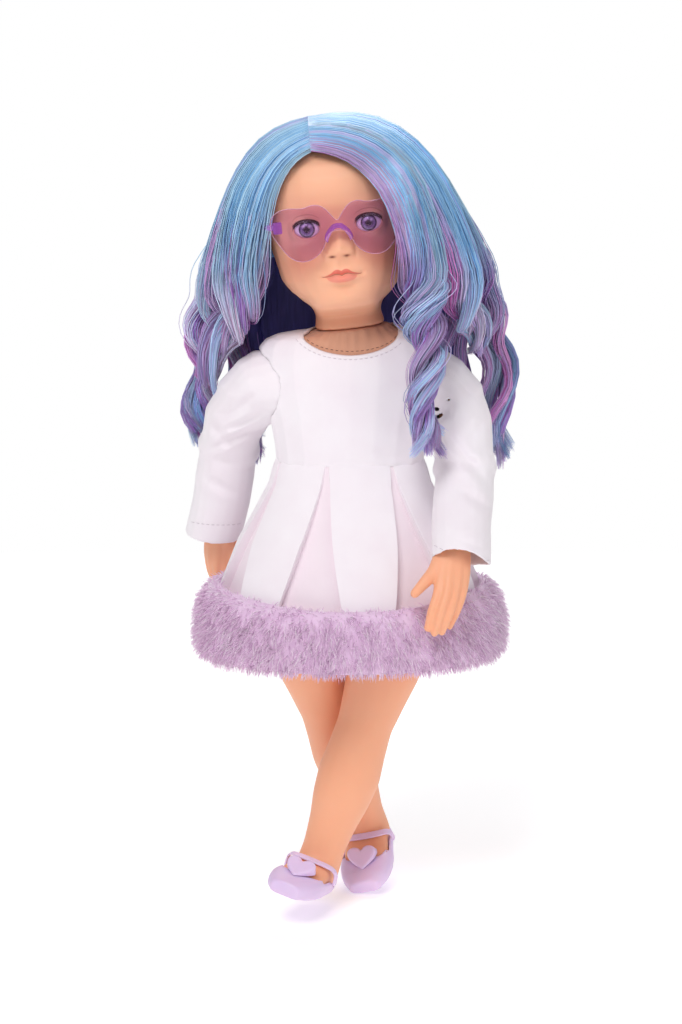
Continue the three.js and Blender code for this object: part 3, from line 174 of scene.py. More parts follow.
# Each lamp's place in metres, its size and its power in watts.
ROOM_LIGHT = 0.4
LAMPS = {
    "key_softbox": ((-0.45, -1.25, 1.65), 0.9, 19),
    "fill_softbox": ((1.3, -1.3, 0.7), 1.2, 4),
    "hair_softbox": ((0.2, 1.1, 1.4), 0.9, 11),
}
for lamp_name, (place, size, power) in LAMPS.items():
    lamp = bpy.data.lights.new(lamp_name, "AREA")
    lamp.size = size
    lamp.energy = power
    lamp_object = bpy.data.objects.new(lamp_name, lamp)
    lamp_object.location = place
    lamp_object.rotation_euler = (aim - Vector(place)).to_track_quat("-Z", "Y").to_euler()
    scene.collection.objects.link(lamp_object)
world = bpy.data.worlds.new("white_room")
world.use_nodes = True
room = world.node_tree.nodes["Background"]
room.inputs["Color"].default_value = (1, 1, 1, 1)
seen = add(world, "ShaderNodeLightPath")
room_light = ranged(world, seen.outputs["Is Camera Ray"], ROOM_LIGHT, 1.0)
world.node_tree.links.new(room_light, room.inputs["Strength"])
scene.world = world
scene.view_settings.view_transform = "Standard"


# Head: soft vinyl, slush moulded in one piece with the neck plug and the lids. The mould leaves
# a fine matt skin; cheeks are sprayed and lips are painted through a mask.
def freeze(piece):
    """Applies a piece's modifiers to its mesh."""
    made = piece.evaluated_get(bpy.context.evaluated_depsgraph_get())
    data = bpy.data.meshes.new_from_object(made)
    piece.modifiers.clear()
    piece.data = data


def points_of(data):
    flat = np.empty(len(data.vertices) * 3, np.float32)
    data.vertices.foreach_get("co", flat)
    return flat.reshape(-1, 3).astype(float)


def set_points(data, points):
    data.vertices.foreach_set("co", points.astype(np.float32).ravel())
    data.update()


def relax(points, edges, rounds, factor=0.8):
    """Evens a surface by moving each point towards the middle of its neighbours."""
    count = len(points)
    degree = np.bincount(edges.ravel(), minlength=count)[:, None]
    for _ in range(rounds):
        total = np.stack([
            np.bincount(edges[:, 0], points[edges[:, 1], k], count)
            + np.bincount(edges[:, 1], points[edges[:, 0], k], count) for k in range(3)
        ], 1)
        points = points + factor * (total / degree - points)
    return points


def moulded_copy(node, name, voxel, spread, keep=1.0, shape=None, model=None):
    """A new piece over a CAD solid, in even faces (voxel mm) with facets smoothed over spread mm²,
    then shaped by a function of its points and thinned to a share of its faces. A function of the
    blank can model parts of it anew first."""
    blank = bmesh.new()
    blank.from_mesh(frame["nodes"][node].data)
    bmesh.ops.remove_doubles(blank, verts=blank.verts, dist=2e-6)
    if model:
        model(blank)
    data = bpy.data.meshes.new(name)
    blank.to_mesh(data)
    blank.free()
    piece = bpy.data.objects.new(name, data)
    scene.collection.objects.link(piece)
    even = piece.modifiers.new("even_faces", "REMESH")
    even.mode = "VOXEL"
    even.voxel_size = voxel / 1000
    freeze(piece)
    data = piece.data
    edges = np.empty(len(data.edges) * 2, np.int32)
    data.edges.foreach_get("vertices", edges)
    edges = edges.reshape(-1, 2)
    rounds = max(1, round(spread / (0.2 * voxel ** 2)))
    points = points_of(data)
    smooth = relax(points, edges, rounds)
    smooth += relax(points - smooth, edges, rounds)
    if shape:
        smooth = shape(smooth)
    set_points(data, smooth)
    if keep < 1:
        fewer = piece.modifiers.new("fewer_faces", "DECIMATE")
        fewer.ratio = keep
        freeze(piece)
    piece.data.shade_smooth()
    return piece


def dress_in(piece, material):
    piece.data.materials.clear()
    piece.data.materials.append(material)
    return piece


def swell(x, z, at, spread, height):
    return height * np.exp(-((x - at[0]) / spread[0]) ** 2 - ((z - at[1]) / spread[1]) ** 2)


FACE_MIDDLE = -0.8
LIP_LINE = 33.5
EYE_PLACE = (17.4, -36.3, 60.5)


def carve_face(points):
    """Lips, nostrils and the folds round nose and chin, raised or sunk on the front of the head."""
    local = in_head(points)
    x, z = local[:, 0] - FACE_MIDDLE, local[:, 2]
    side = np.abs(x)
    line = LIP_LINE - 0.5 + 1.1 * np.exp(-((side - 3.2) / 2) ** 2) - 0.3 * np.exp(-((side - 9) / 2.5) ** 2)
    relief = (
        swell(side, z, (3.0, LIP_LINE + 2.1), (3.4, 1.25), 0.9)
        + swell(side, z, (5.5, LIP_LINE + 1.1), (3.2, 0.9), 0.5)
        + swell(x, z, (0, LIP_LINE - 2.5), (6.0, 1.7), 1.3)
        - 1.0 * np.exp(-((z - line) / 0.55) ** 2) * (side < 13) * np.clip((12.5 - side) / 3, 0, 1)
        - swell(x, z, (0, LIP_LINE - 6.3), (6.5, 1.2), 0.8)
        - swell(side, z, (11.8, LIP_LINE), (1.2, 1.1), 0.7)
        - swell(side, z, (4.1, 44.0), (1.7, 0.8), 1.7)
        - swell(side, z, (9.3, 46.5), (0.9, 3.0), 1.0)
        + swell(x, z, (0, 47), (3.2, 2.8), 0.6)
        + swell(side, z, (6.9, 46.4), (2.0, 2.4), 0.8)
        - swell(x, z, (0, 40), (1.2, 2.6), 0.35)
    )
    front = np.clip((-local[:, 1] - 22) / 12, 0, 1)
    local[:, 1] -= relief * front
    jaw = np.interp(z, (2, 8, 13, 18, 24, 31), (0, 0.13, 0.2, 0.15, 0.05, 0))
    local[:, 0] *= 1 - jaw * np.clip((side - 14) / 10, 0, 1) * np.clip((12 - local[:, 1]) / 20, 0, 1)
    return from_head(local)


head = moulded_copy("head", "vinyl_head", 0.8, 2.2, keep=0.5, shape=carve_face)


def mixed(material, share, first, second):
    """A colour between two, each given as a hex code or as another node's output."""
    first, second = (linear(shade) if isinstance(shade, str) else shade for shade in (first, second))
    inputs = {"Factor": share, "A": first, "B": second}
    return add(material, "ShaderNodeMix", inputs, data_type="RGBA").outputs["Result"]


def vinyl(name, colour):
    """Soft vinyl (PVC): light enters a little, and the mould gives a fine matt grain."""
    material, shader = finish_of(
        name, colour, 0.5, Subsurface_Weight=0.2, Subsurface_Radius=(1.0, 0.35, 0.2),
        Subsurface_Scale=0.004, Specular_IOR_Level=0.4, IOR=1.5,
    )
    place = place_on(material)
    cloud = noise(material, place, 22.0, 3.0)
    grain = bumps(material, noise(material, place, 900.0), 0.08, 0.0003)
    paint(material, shader, Normal=grain, Roughness=ranged(material, cloud, 0.44, 0.56))
    return material, shader, place, cloud


def axes_at(material, place, middle):
    """Distances in mm along the head's own axes from a place on it."""
    local = add(material, "ShaderNodeMapping", {
        "Vector": place, "Location": middle, "Rotation": (0, -lean, 0), "Scale": (0.001, 0.001, 0.001),
    }, vector_type="TEXTURE")
    return add(material, "ShaderNodeSeparateXYZ", {"Vector": local.outputs["Vector"]}).outputs


def number(material, operation, first, second=0.0, third=0.0, clamp=False):
    """One sum on numbers or outputs."""
    inputs = {0: first, 1: second, 2: third}
    return add(material, "ShaderNodeMath", inputs, operation=operation, use_clamp=clamp).outputs[0]


def product(material, first, *others):
    for other in others:
        first = number(material, "MULTIPLY", first, other)
    return first


def ramp(material, value, low, soft):
    """From nothing to one while a value passes another by a soft width."""
    return number(material, "DIVIDE", number(material, "SUBTRACT", value, low), soft, clamp=True)


def between(material, value, low, high, soft):
    """One between two edges, falling to nothing over a soft width in mm."""
    return product(material, ramp(material, value, low, soft), ramp(material, high, value, soft))


def spot(material, x, z, at, spread):
    """A sprayed patch that fades from its middle."""
    dx = number(material, "DIVIDE", number(material, "SUBTRACT", x, at[0]), spread[0])
    dz = number(material, "DIVIDE", number(material, "SUBTRACT", z, at[1]), spread[1])
    square = number(material, "ADD", product(material, dx, dx), product(material, dz, dz))
    return number(material, "EXPONENT", product(material, square, -1.0))


LIP_REACH = 12.0
LIP_RISE = 8.0


def outline(material, across, stations):
    """A painted edge of the lips as a curve of height in mm over the distance from their middle."""
    share = number(material, "DIVIDE", across, LIP_REACH, clamp=True)
    curve = add(material, "ShaderNodeFloatCurve", {"Value": share})
    line = curve.mapping.curves[0]
    ends = [stations[0], stations[-1]]
    for point, (distance, height) in zip((line.points[0], line.points[-1]), ends):
        point.location = (distance / LIP_REACH, (height + LIP_RISE) / (2 * LIP_RISE))
    for distance, height in stations[1:-1]:
        line.points.new(distance / LIP_REACH, (height + LIP_RISE) / (2 * LIP_RISE))
    curve.mapping.update()
    return number(material, "MULTIPLY_ADD", curve.outputs[0], 2 * LIP_RISE, -LIP_RISE)


SKIN = "F7B792"
SKIN_SHADE = "ED9F7B"
face_vinyl, face_shader, face_place, face_cloud = vinyl("slush_moulded_vinyl_face", SKIN)
face_base = mixed(face_vinyl, ranged(face_vinyl, face_cloud, 0.0, 0.3), "F9BB99", SKIN_SHADE)
face_axes = axes_at(face_vinyl, face_place, neck)
face_height = face_axes["Z"]
face_side = number(face_vinyl, "ABSOLUTE", number(face_vinyl, "SUBTRACT", face_axes["X"], FACE_MIDDLE))
on_front = number(face_vinyl, "LESS_THAN", face_axes["Y"], -30.0)

lip_height = number(face_vinyl, "SUBTRACT", face_height, LIP_LINE)
lip_line = outline(face_vinyl, face_side, [(0, -0.5), (3, 0.6), (6.5, -0.2), (10, -0.5), (12, 0)])
upper_edge = outline(face_vinyl, face_side, [(0, 2.5), (3, 3.4), (6.5, 1.3), (10, 0.1), (12, 0)])
lower_edge = outline(face_vinyl, face_side, [(0, -4.6), (4, -4.3), (7.4, -3.1), (9.2, -0.9), (12, 0)])
upper_lip = between(face_vinyl, lip_height, lip_line, upper_edge, 0.5)
lower_lip = between(face_vinyl, lip_height, lower_edge, lip_line, 0.8)
under_line = number(face_vinyl, "SUBTRACT", lip_line, 0.35)
over_line = number(face_vinyl, "ADD", lip_line, 0.35)
line_band = between(face_vinyl, lip_height, under_line, over_line, 0.3)
mouth_line = product(face_vinyl, line_band, between(face_vinyl, face_side, -1.0, 11.6, 1.0))

# The eye opening's upper edge carries a dark painted line, thickest at its outer end, and above it a band of painted
# shade in the lid's crease.
EYE_HALF_WIDTH = 8.2
EYE_BOW = 4.9
eye_across = number(face_vinyl, "SUBTRACT", number(face_vinyl, "ABSOLUTE", face_axes["X"]), EYE_PLACE[0])
eye_share = number(face_vinyl, "DIVIDE", eye_across, EYE_HALF_WIDTH)
bow_square = number(face_vinyl, "SUBTRACT", 1.0, product(face_vinyl, eye_share, eye_share))
eye_bow = number(face_vinyl, "SQRT", number(face_vinyl, "MAXIMUM", bow_square, 0.0))
eye_height = number(face_vinyl, "SUBTRACT", face_height, EYE_PLACE[2])
over_eye = number(face_vinyl, "SUBTRACT", eye_height, product(face_vinyl, eye_bow, EYE_BOW))
lash_line = between(face_vinyl, over_eye, -1.6, 1.1, 0.35)
lid_crease_shade = between(face_vinyl, over_eye, 3.0, 3.7, 0.3)
by_eye = between(face_vinyl, eye_across, -8.0, 8.4, 1.0)

# Sprayed and painted colours, one over the other, each with what it covers and how strongly; the chin, nostril and
# lid-crease layers are painted shade.
blush = spot(face_vinyl, face_side, face_height, (24, 41), (11, 9))
# Painted shade in the nostrils.
nostrils = spot(face_vinyl, face_side, face_height, (4.1, 44.1), (1.7, 0.7))
# Painted shadow under the chin: the skin darkens below a height on the head.
chin_shadow = ramp(face_vinyl, 15.0, face_height, 9.0)
LAYERS = [
    ("EE9478", (blush, 0.6)),
    ("DF9775", (chin_shadow, 0.6)),
    ("F0937F", (lower_lip, on_front)),
    ("E0705F", (upper_lip, on_front)),
    ("A63A34", (mouth_line, on_front, 0.75)),
    ("8E4A3C", (nostrils, on_front)),
    ("3A1C1E", (lash_line, by_eye, 0.9)),
    ("A8604E", (lid_crease_shade, by_eye, 0.55)),
]
face_colour = face_base
for layer, shares in LAYERS:
    face_colour = mixed(face_vinyl, product(face_vinyl, *shares), face_colour, layer)
paint(face_vinyl, face_shader, Base_Color=face_colour)
dress_in(head, face_vinyl)
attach(head, "head")
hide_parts("head")

# Sleep eyes: glossy acrylic balls with a printed iris under a clear bulge, each on two trunnions
# in a cupped housing glued behind the lid, with a steel weight behind and a lash strip on top.
BALL = 9.5
IRIS = 4.6
PUPIL = 1.9
BULGE = 0.5
PAINTED_CATCHLIGHTS = ((-1.7, 1.9), (1.6, 1.7))


def eye_material(side):
    """Printed iris: dark rim, grey-violet spokes and a dark pupil under clear acrylic, with two painted highlights on
    its front.
    """
    material, shader = finish_of(f"acrylic_eye_{side}", "F4EEF6", 0.08, Coat_Weight=1.0, Coat_Roughness=0.03)
    middle = head_frame @ Vector((EYE_PLACE[0] * (1 if side == "left" else -1), EYE_PLACE[1], EYE_PLACE[2]))
    axes = axes_at(material, place_on(material), middle)
    x, z = axes["X"], axes["Z"]
    front = number(material, "LESS_THAN", axes["Y"], -5.0)
    radius = number(material, "SQRT", number(material, "ADD", product(material, x, x), product(material, z, z)))
    angle = number(material, "ARCTAN2", z, x)
    spoke_place = add(material, "ShaderNodeCombineXYZ", {
        "X": product(material, angle, 5.0), "Y": product(material, radius, 0.25),
    })
    spokes = noise(material, spoke_place.outputs["Vector"], 2.2, 3.0)
    ring = between(material, radius, PUPIL + 0.4, PUPIL + 1.9, 0.7)
    rim = number(material, "SMOOTH_MIN", 1.0, ramp(material, radius, IRIS - 1.1, 0.8), 0.1)
    iris = mixed(material, spokes, "35304F", "8A83AC")
    iris = mixed(material, product(material, ring, 0.55), iris, "A9A4C6")
    iris = mixed(material, rim, iris, "15101F")
    iris = mixed(material, ramp(material, PUPIL + 0.15, radius, 0.3), iris, "120C16")
    on_iris = ramp(material, IRIS + 0.1, radius, 0.35)
    colour = mixed(material, product(material, on_iris, front), "FFFBFF", iris)
    # Two painted highlights: reflections painted onto the front of the eye.
    for at in PAINTED_CATCHLIGHTS:
        painted_glint = spot(material, x, z, at, (0.95, 0.75))
        colour = mixed(material, product(material, painted_glint, front, 0.8), colour, "F2EEFA")
    paint(material, shader, Base_Color=colour)
    return material


def new_piece(name, shape, material=None, smooth=True):
    """A finished bmesh as an object at the origin."""
    data = bpy.data.meshes.new(name)
    shape.to_mesh(data)
    shape.free()
    piece = bpy.data.objects.new(name, data)
    scene.collection.objects.link(piece)
    if material:
        data.materials.append(material)
    if smooth:
        data.shade_smooth()
    return piece


def fibres(name, paths, radii, dyes, material):
    """Strands as one tapering three-sided tube each; dyes is a colour for every point of a path."""
    section = bpy.data.curves.new("fibre_section", "CURVE")
    ring = section.splines.new("POLY")
    ring.points.add(2)
    ring.use_cyclic_u = True
    for point, angle in zip(ring.points, (0, -2.094, 2.094)):
        point.co = (math.cos(angle), math.sin(angle), 0, 1)
    section_of = bpy.data.objects.new("fibre_section", section)
    scene.collection.objects.link(section_of)
    curve = bpy.data.curves.new(name, "CURVE")
    curve.dimensions = "3D"
    curve.bevel_mode = "OBJECT"
    curve.bevel_object = section_of
    count, length = paths.shape[:2]
    flat = np.concatenate([paths, np.ones((count, length, 1))], 2).astype(np.float32)
    for i in range(count):
        line = curve.splines.new("POLY")
        line.points.add(length - 1)
        line.points.foreach_set("co", flat[i].ravel())
        line.points.foreach_set("radius", radii[i].astype(np.float32))
    tubes = bpy.data.objects.new(name + "_curve", curve)
    scene.collection.objects.link(tubes)
    data = bpy.data.meshes.new_from_object(tubes.evaluated_get(bpy.context.evaluated_depsgraph_get()))
    bpy.data.objects.remove(tubes)
    bpy.data.objects.remove(section_of)
    data.name = name
    around = len(data.vertices) // (count * length)
    dye = data.color_attributes.new("dye", "FLOAT_COLOR", "POINT")
    shades = np.concatenate([dyes, np.ones((count, length, 1))], 2).reshape(-1, 4)
    dye.data.foreach_set("color", np.repeat(shades, around, 0).astype(np.float32).ravel())
    data.shade_smooth()
    piece = bpy.data.objects.new(name, data)
    scene.collection.objects.link(piece)
    data.materials.clear()
    data.materials.append(material)
    return piece


def dyed(name, colour, roughness, **sockets):
    """A fibre that takes its colour point by point from its dye attribute, which can also carry painted shade."""
    material, shader = finish_of(name, colour, roughness, **sockets)
    dye = add(material, "ShaderNodeAttribute", attribute_name="dye")
    paint(material, shader, Base_Color=dye.outputs["Color"])
    return material


LASHES = 46
LASH_HALF_WIDTH = 6.6
lash_fibre = dyed("nylon_lash_fibre", "221619", 0.5)
rng = np.random.RandomState(7)
for side, sign in (("left", 1), ("right", -1)):
    centre = Vector((sign * EYE_PLACE[0], EYE_PLACE[1], EYE_PLACE[2]))
    globe = bmesh.new()
    bmesh.ops.create_uvsphere(globe, u_segments=64, v_segments=40, radius=BALL)
    for v in globe.verts:
        away = v.co.angle(Vector((0, 0, 1)), 0)
        v.co *= 1 + BULGE / BALL * max(0, 1 - (away / 0.52) ** 2) ** 2
    bmesh.ops.rotate(globe, verts=globe.verts, matrix=Matrix.Rotation(math.pi / 2, 3, "X"))
    for end in (-1, 1):
        turned = Matrix.Translation((end * BALL, 0, 0)) @ Matrix.Rotation(math.pi / 2, 4, "Y")
        bmesh.ops.create_cone(globe, cap_ends=True, segments=20, radius1=0.95, radius2=0.95, depth=1.6, matrix=turned)
    bmesh.ops.translate(globe, verts=globe.verts, vec=centre)
    bmesh.ops.transform(globe, verts=globe.verts, matrix=head_frame)
    eye = new_piece(f"{side}_acrylic_eye", globe, eye_material(side))
    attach(eye, f"{side}_eye")
    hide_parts(f"{side}_eyeball")

    across = np.linspace(-LASH_HALF_WIDTH, LASH_HALF_WIDTH, LASHES) + rng.uniform(-0.08, 0.08, LASHES)
    lid_edge = 4.5 * np.sqrt(1 - (across / 7.4) ** 2) - 0.5
    root = np.stack([across, -np.sqrt((BALL + 0.35) ** 2 - across ** 2 - lid_edge ** 2), lid_edge], 1)
    reach = np.linspace(0, 1, 6)[None, :, None]
    outward = np.stack([across * 0.13 + sign * 0.5, -np.full(LASHES, 2.3), np.full(LASHES, 0.3)], 1)[:, None]
    lift = np.array([0, 0, 1.7])[None, None]
    paths = root[:, None] + outward * reach + lift * reach ** 2.2
    paths = from_head((paths + centre).reshape(-1, 3)).reshape(paths.shape)
    taper = np.linspace(0.24, 0.05, 6)[None].repeat(LASHES, 0) / 1000
    dark = np.tile(np.array(linear("1E1216")[:3]), (LASHES, 6, 1))
    lash = fibres(f"{side}_lash_fringe", paths, taper, dark, lash_fibre)
    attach(lash, f"{side}_eye")
    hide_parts(f"{side}_lashes")

# Parts inside the head and body: white styrene eye housings and limb cups, steel eye weights,
# braided nylon stringing and the drawstring round the neck. They are out of sight in use.
styrene, styrene_shader = finish_of("moulded_styrene", "F2ECE4", 0.35)
styrene_flow = noise(styrene, place_on(styrene), 120.0)
paint(styrene, styrene_shader, Roughness=ranged(styrene, styrene_flow, 0.28, 0.42))

steel, steel_shader = finish_of("zinc_plated_steel", "9FA2A6", 0.38, Metallic=1.0)
steel_cloud = noise(steel, place_on(steel), 400.0)
paint(steel, steel_shader, Base_Color=mixed(steel, steel_cloud, "8B8E92", "B4B7BA"))

# Braid: two sets of 0.8 mm yarn crossing on the cord.
braid, braid_shader = finish_of("braided_nylon", "E9E2D6", 0.65)
braid_wave = add(braid, "ShaderNodeTexWave", {"Vector": place_on(braid), "Scale": 390.0}, bands_direction="DIAGONAL")
paint(braid, braid_shader, Normal=bumps(braid, braid_wave.outputs["Fac"], 0.5, 0.0003))

wool, wool_shader = finish_of("carded_polyester_stuffing", "F4F1EA", 1.0, Sheen_Weight=0.4)
wool_tufts = noise(wool, place_on(wool), 160.0, 6.0)
paint(wool, wool_shader, Normal=bumps(wool, wool_tufts, 0.9, 0.003))
INSIDE = {
    "housing": styrene, "cup": styrene, "weight": steel, "cord": braid, "neck_tie": braid, "stuffing": wool,
}
for node_name, node in frame["nodes"].items():
    for word, material in INSIDE.items():
        if word in node_name:
            dress_in(node, material)


# Cloth body: flesh-coloured cotton stuffed hard and drawn in round the neck plug, with the
# gathers of the drawstring and a row of dark stitches that shows in the neckline.
def weave(name, colour, shade, thread, roughness=0.85, sheen=0.25, depth=0.4):
    """Plain weave: two crossed sets of threads (thread is their spacing in mm), uneven in tone."""
    material, shader = finish_of(
        name, colour, roughness, Sheen_Weight=sheen, Sheen_Roughness=0.5, Specular_IOR_Level=0.2,
    )
    place = place_on(material)
    turns = 1000 / thread / 3.1
    bands = [
        add(material, "ShaderNodeTexWave", {
            "Vector": place, "Scale": turns, "Distortion": 0.6, "Detail Scale": 2.0,
        }, bands_direction=axis).outputs["Fac"] for axis in ("X", "Z")
    ]
    threads = bumps(material, number(material, "MAXIMUM", *bands), depth, thread / 4000)
    faint = add(material, "ShaderNodeMapRange", {
        "Value": noise(material, place, 35.0, 4.0), "From Min": 0.3, "From Max": 0.7, "To Min": 0.0, "To Max": 0.6,
    })
    paint(material, shader, Base_Color=mixed(material, faint.outputs["Result"], colour, shade), Normal=threads)
    return material


body_cotton = weave("body_cotton", "DCA58A", "CF9377", 0.5)


def slope_shoulders(points):
    """Soft shoulders: the stuffing and the cloth over it fall away from the neck."""
    flat = (points - np.array(stand)) * 1000
    out = np.abs(flat[:, 0])
    fall = np.interp(out, (30, 44, 56, 66, 77, 86, 96), (0, 0.8, 1.8, 7.0, 8.5, 6.0, 2.0))
    start = np.interp(out, (48, 70), (304, 286))
    flat[:, 2] -= fall * np.clip((flat[:, 2] - start) / 20, 0, 1)
    return flat / 1000 + np.array(stand)


def gather(points):
    """Small radial gathers under the drawstring."""
    points = slope_shoulders(points)
    flat = (points - np.array(stand)) * 1000
    angle = np.arctan2(flat[:, 1], flat[:, 0])
    near = np.clip((flat[:, 2] - 318) / 14, 0, 1)
    narrow = 3.5 * np.sign(flat[:, 0]) * np.clip((np.abs(flat[:, 0]) - 38) / 14, 0, 1)
    points = points - np.stack([narrow, 0 * narrow, 0 * narrow], 1) / 1000
    ripple = 0.35 * near * np.sin(26 * angle + 2 * np.sin(3 * angle))
    out = np.stack([np.cos(angle), np.sin(angle), np.zeros(len(angle))], 1)
    return points + out * ripple[:, None] / 1000


torso = moulded_copy("torso_cover", "stuffed_cloth_body", 0.8, 2, keep=0.16, shape=gather)
dress_in(torso, body_cotton)
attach(torso, "body")
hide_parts("torso_cover")

# Arms and legs: solid-looking soft vinyl, slush moulded, matt from the mould.
limb_vinyl, limb_shader, _, limb_cloud = vinyl("slush_moulded_vinyl_limb", SKIN)
limb_tone = mixed(limb_vinyl, ranged(limb_vinyl, limb_cloud, 0.0, 0.5), "F8B48F", "EEA17C")
paint(limb_vinyl, limb_shader, Base_Color=limb_tone)


def smooth_route(route, shares):
    """A Catmull-Rom curve through the route's points, read at shares of its length."""
    ends = np.array([2 * route[0] - route[1], *route, 2 * route[-1] - route[-2]])
    place = shares * (len(route) - 1)
    i = np.clip(place.astype(int), 0, len(route) - 2)
    t = (place - i)[..., None]
    a, b, c, d = ends[i], ends[i + 1], ends[i + 2], ends[i + 3]
    return 0.5 * (2 * b + (c - a) * t + (2 * a - 5 * b + 4 * c - d) * t ** 2 + (3 * b - a - 3 * c + d) * t ** 3)


# Each hand is modelled anew below the wrist: four fingers that close on each other and a thumb that
# stands off, as middle lines and radii in mm on the left hand.
# Each arm was moulded hanging down, and is turned forward, outward and about itself, in degrees.
ARM_TURNS = {"left": (21.5, 7.5, -14), "right": (-33, 13, 14)}
WRIST_CUT = ((58, -54, 207), (-0.08, -0.62, -0.78))
FINGERS = [
    ((54, -51, 212, 7.2), (52.2, -59, 202, 5.2), (49.8, -66, 193, 3.4), (46, -70, 183, 2.8),
     (43.8, -69.6, 173.5, 2.4)),
    ((57.5, -51, 212, 7.4), (56, -60.5, 202, 5.2), (54.4, -67.6, 193, 3.3), (50.9, -71.8, 182.5, 2.8),
     (47.4, -70.4, 170.8, 2.3)),
    ((60.5, -51, 212, 7.0), (60, -60, 202, 4.9), (59, -65.8, 192.5, 3.1), (55.7, -70, 182, 2.7),
     (51.6, -68.4, 171, 2.2)),
    ((62.5, -51, 212, 6.2), (63.6, -58, 202, 4.4), (63.2, -62.6, 192.5, 2.9), (60.2, -66.2, 183, 2.4),
     (56, -65.6, 173.6, 2.0)),
    ((52.5, -52, 211, 5.8), (48.2, -57.4, 204, 4.6), (42.6, -62, 198.6, 3.6), (36.4, -65.4, 192.4, 2.7)),
]


def arm_frame(side):
    """The frame in which an arm was moulded, on its own side of the doll."""
    forward, out, turn = (math.radians(angle) for angle in ARM_TURNS[side])
    sign = 1 if side == "left" else -1
    lifted = Matrix.Rotation(-forward, 4, "X") @ Matrix.Rotation(-out * sign, 4, "Y")
    turned = lifted @ Matrix.Rotation(turn * sign, 4, "Z")
    return Matrix.Translation(joints[f"{side}_arm_swing"]["pos_m"]) @ turned @ Matrix.Diagonal((sign, 1, 1, 1))


def new_hand(side):
    """Takes the blank's hand off at the wrist and puts the modelled one there."""
    across = arm_frame(side) @ arm_frame("left").inverted()

    def model(blank):
        at = across @ (Vector(WRIST_CUT[0]) / 1000 + stand)
        along = (across.to_3x3() @ Vector(WRIST_CUT[1])).normalized()
        geometry = list(blank.verts) + list(blank.edges) + list(blank.faces)
        cut_off = bmesh.ops.bisect_plane(blank, geom=geometry, plane_co=at, plane_no=along, clear_outer=True)
        rim = [g for g in cut_off["geom_cut"] if isinstance(g, bmesh.types.BMEdge)]
        bmesh.ops.triangle_fill(blank, use_beauty=True, edges=rim)
        bmesh.ops.recalc_face_normals(blank, faces=blank.faces)
        for finger in FINGERS:
            stations = [(*(across @ (Vector(place[:3]) / 1000 + stand)), place[3] / 1000) for place in finger]
            line = smooth_route(np.array(stations), np.linspace(0, 1, 5 * len(finger)))
            for x, y, z, radius in line:
                at = Matrix.Translation((x, y, z))
                bmesh.ops.create_icosphere(blank, subdivisions=2, radius=radius, matrix=at)
    return model


def draw_cap_in(points):
    """Moves what lies at the armhole in under its edge: the cap of the sleeve and the arm in it."""
    across = (points[:, 0] - stand.x) * 1000
    heights = (points[:, 2] - stand.z) * 1000
    near = np.clip((57 - np.abs(across)) / 6, 0, 1) * np.clip((heights - 268) / 12, 0, 1)
    points[:, 0] -= np.sign(across) * near * 0.0042
    return points


def under_sleeve(points):
    """Makes the upper arm slimmer under the cloth and slopes its shoulder with the dress."""
    flat = (points - np.array(stand)) * 1000
    covered = np.clip((flat[:, 2] - 226) / 20, 0, 1) * np.clip((318 - flat[:, 2]) / 20, 0, 1)
    levels = np.round(flat[:, 2] / 4)
    for level in np.unique(levels):
        at = levels == level
        middle = flat[at, :2].mean(0)
        flat[at, :2] -= 0.27 * covered[at][:, None] * (flat[at, :2] - middle)
    points = flat / 1000 + np.array(stand)
    shoulder = np.array(joints["left_arm_swing" if flat[:, 0].mean() > 0 else "right_arm_swing"]["pos_m"])
    away = points - shoulder
    near = np.clip((0.03 - np.linalg.norm(away, axis=1)) / 0.008, 0, 1)
    return slope_shoulders(draw_cap_in(points - 0.3 * near[:, None] * away))


for side in ("left", "right"):
    arm = moulded_copy(f"{side}_arm", f"{side}_vinyl_arm", 0.5, 0.8, 0.3, under_sleeve, new_hand(side))
    leg = moulded_copy(f"{side}_leg", f"{side}_vinyl_leg", 1.0, 7, 0.32)
    for piece, limb in ((arm, "arm"), (leg, "leg")):
        dress_in(piece, limb_vinyl)
        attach(piece, f"{side}_{limb}")
        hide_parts(f"{side}_{limb}")

# Shoes: lilac soft vinyl flats, one moulding with the sole; the strap is welded at both sides
# and the padded heart is moulded separately and glued on the toe.
shoe_vinyl, shoe_shader = finish_of(
    "injection_moulded_soft_vinyl", "DDC4EA", 0.42, Subsurface_Weight=0.08, Subsurface_Scale=0.003, IOR=1.5,
)
shoe_cloud = noise(shoe_vinyl, place_on(shoe_vinyl), 30.0, 3.0)
shoe_tone = mixed(shoe_vinyl, shoe_cloud, "EAD4F3", "E0C5EC")
paint(shoe_vinyl, shoe_shader, Base_Color=shoe_tone, Roughness=ranged(shoe_vinyl, shoe_cloud, 0.36, 0.5))
SHOE_PIECES = {
    "shoe": ("vinyl_flat", 0.6, 1.5, 0.5),
    "strap": ("vinyl_strap", 0.4, 0.12, 0.5),
    "shoe_heart": ("vinyl_heart", 0.4, 0.35, 0.6),
}
for side in ("left", "right"):
    for node_end, (piece_end, voxel, spread, keep) in SHOE_PIECES.items():
        piece = moulded_copy(f"{side}_{node_end}", f"{side}_{piece_end}", voxel, spread, keep)
        dress_in(piece, shoe_vinyl)
        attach(piece, f"{side}_leg")
        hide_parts(f"{side}_{node_end}")

# Dress: white polyester crepe, with a pinker painted shade in the skirt's pleat recesses. The bodice is cut in
# one front and two backs, closed by hook and loop tape under a flap; sleeves are set into the armholes.
crepe = weave("polyester_crepe", "F5EFF4", "EFE3EB", 0.45, roughness=0.8, sheen=0.35, depth=0.25)
tape_nylon = weave("hook_and_loop_nylon", "F3EEF2", "E4DCE4", 0.9, depth=0.9)
for node_name in ("loop_tape", "hook_tape"):
    dress_in(frame["nodes"][node_name], tape_nylon)


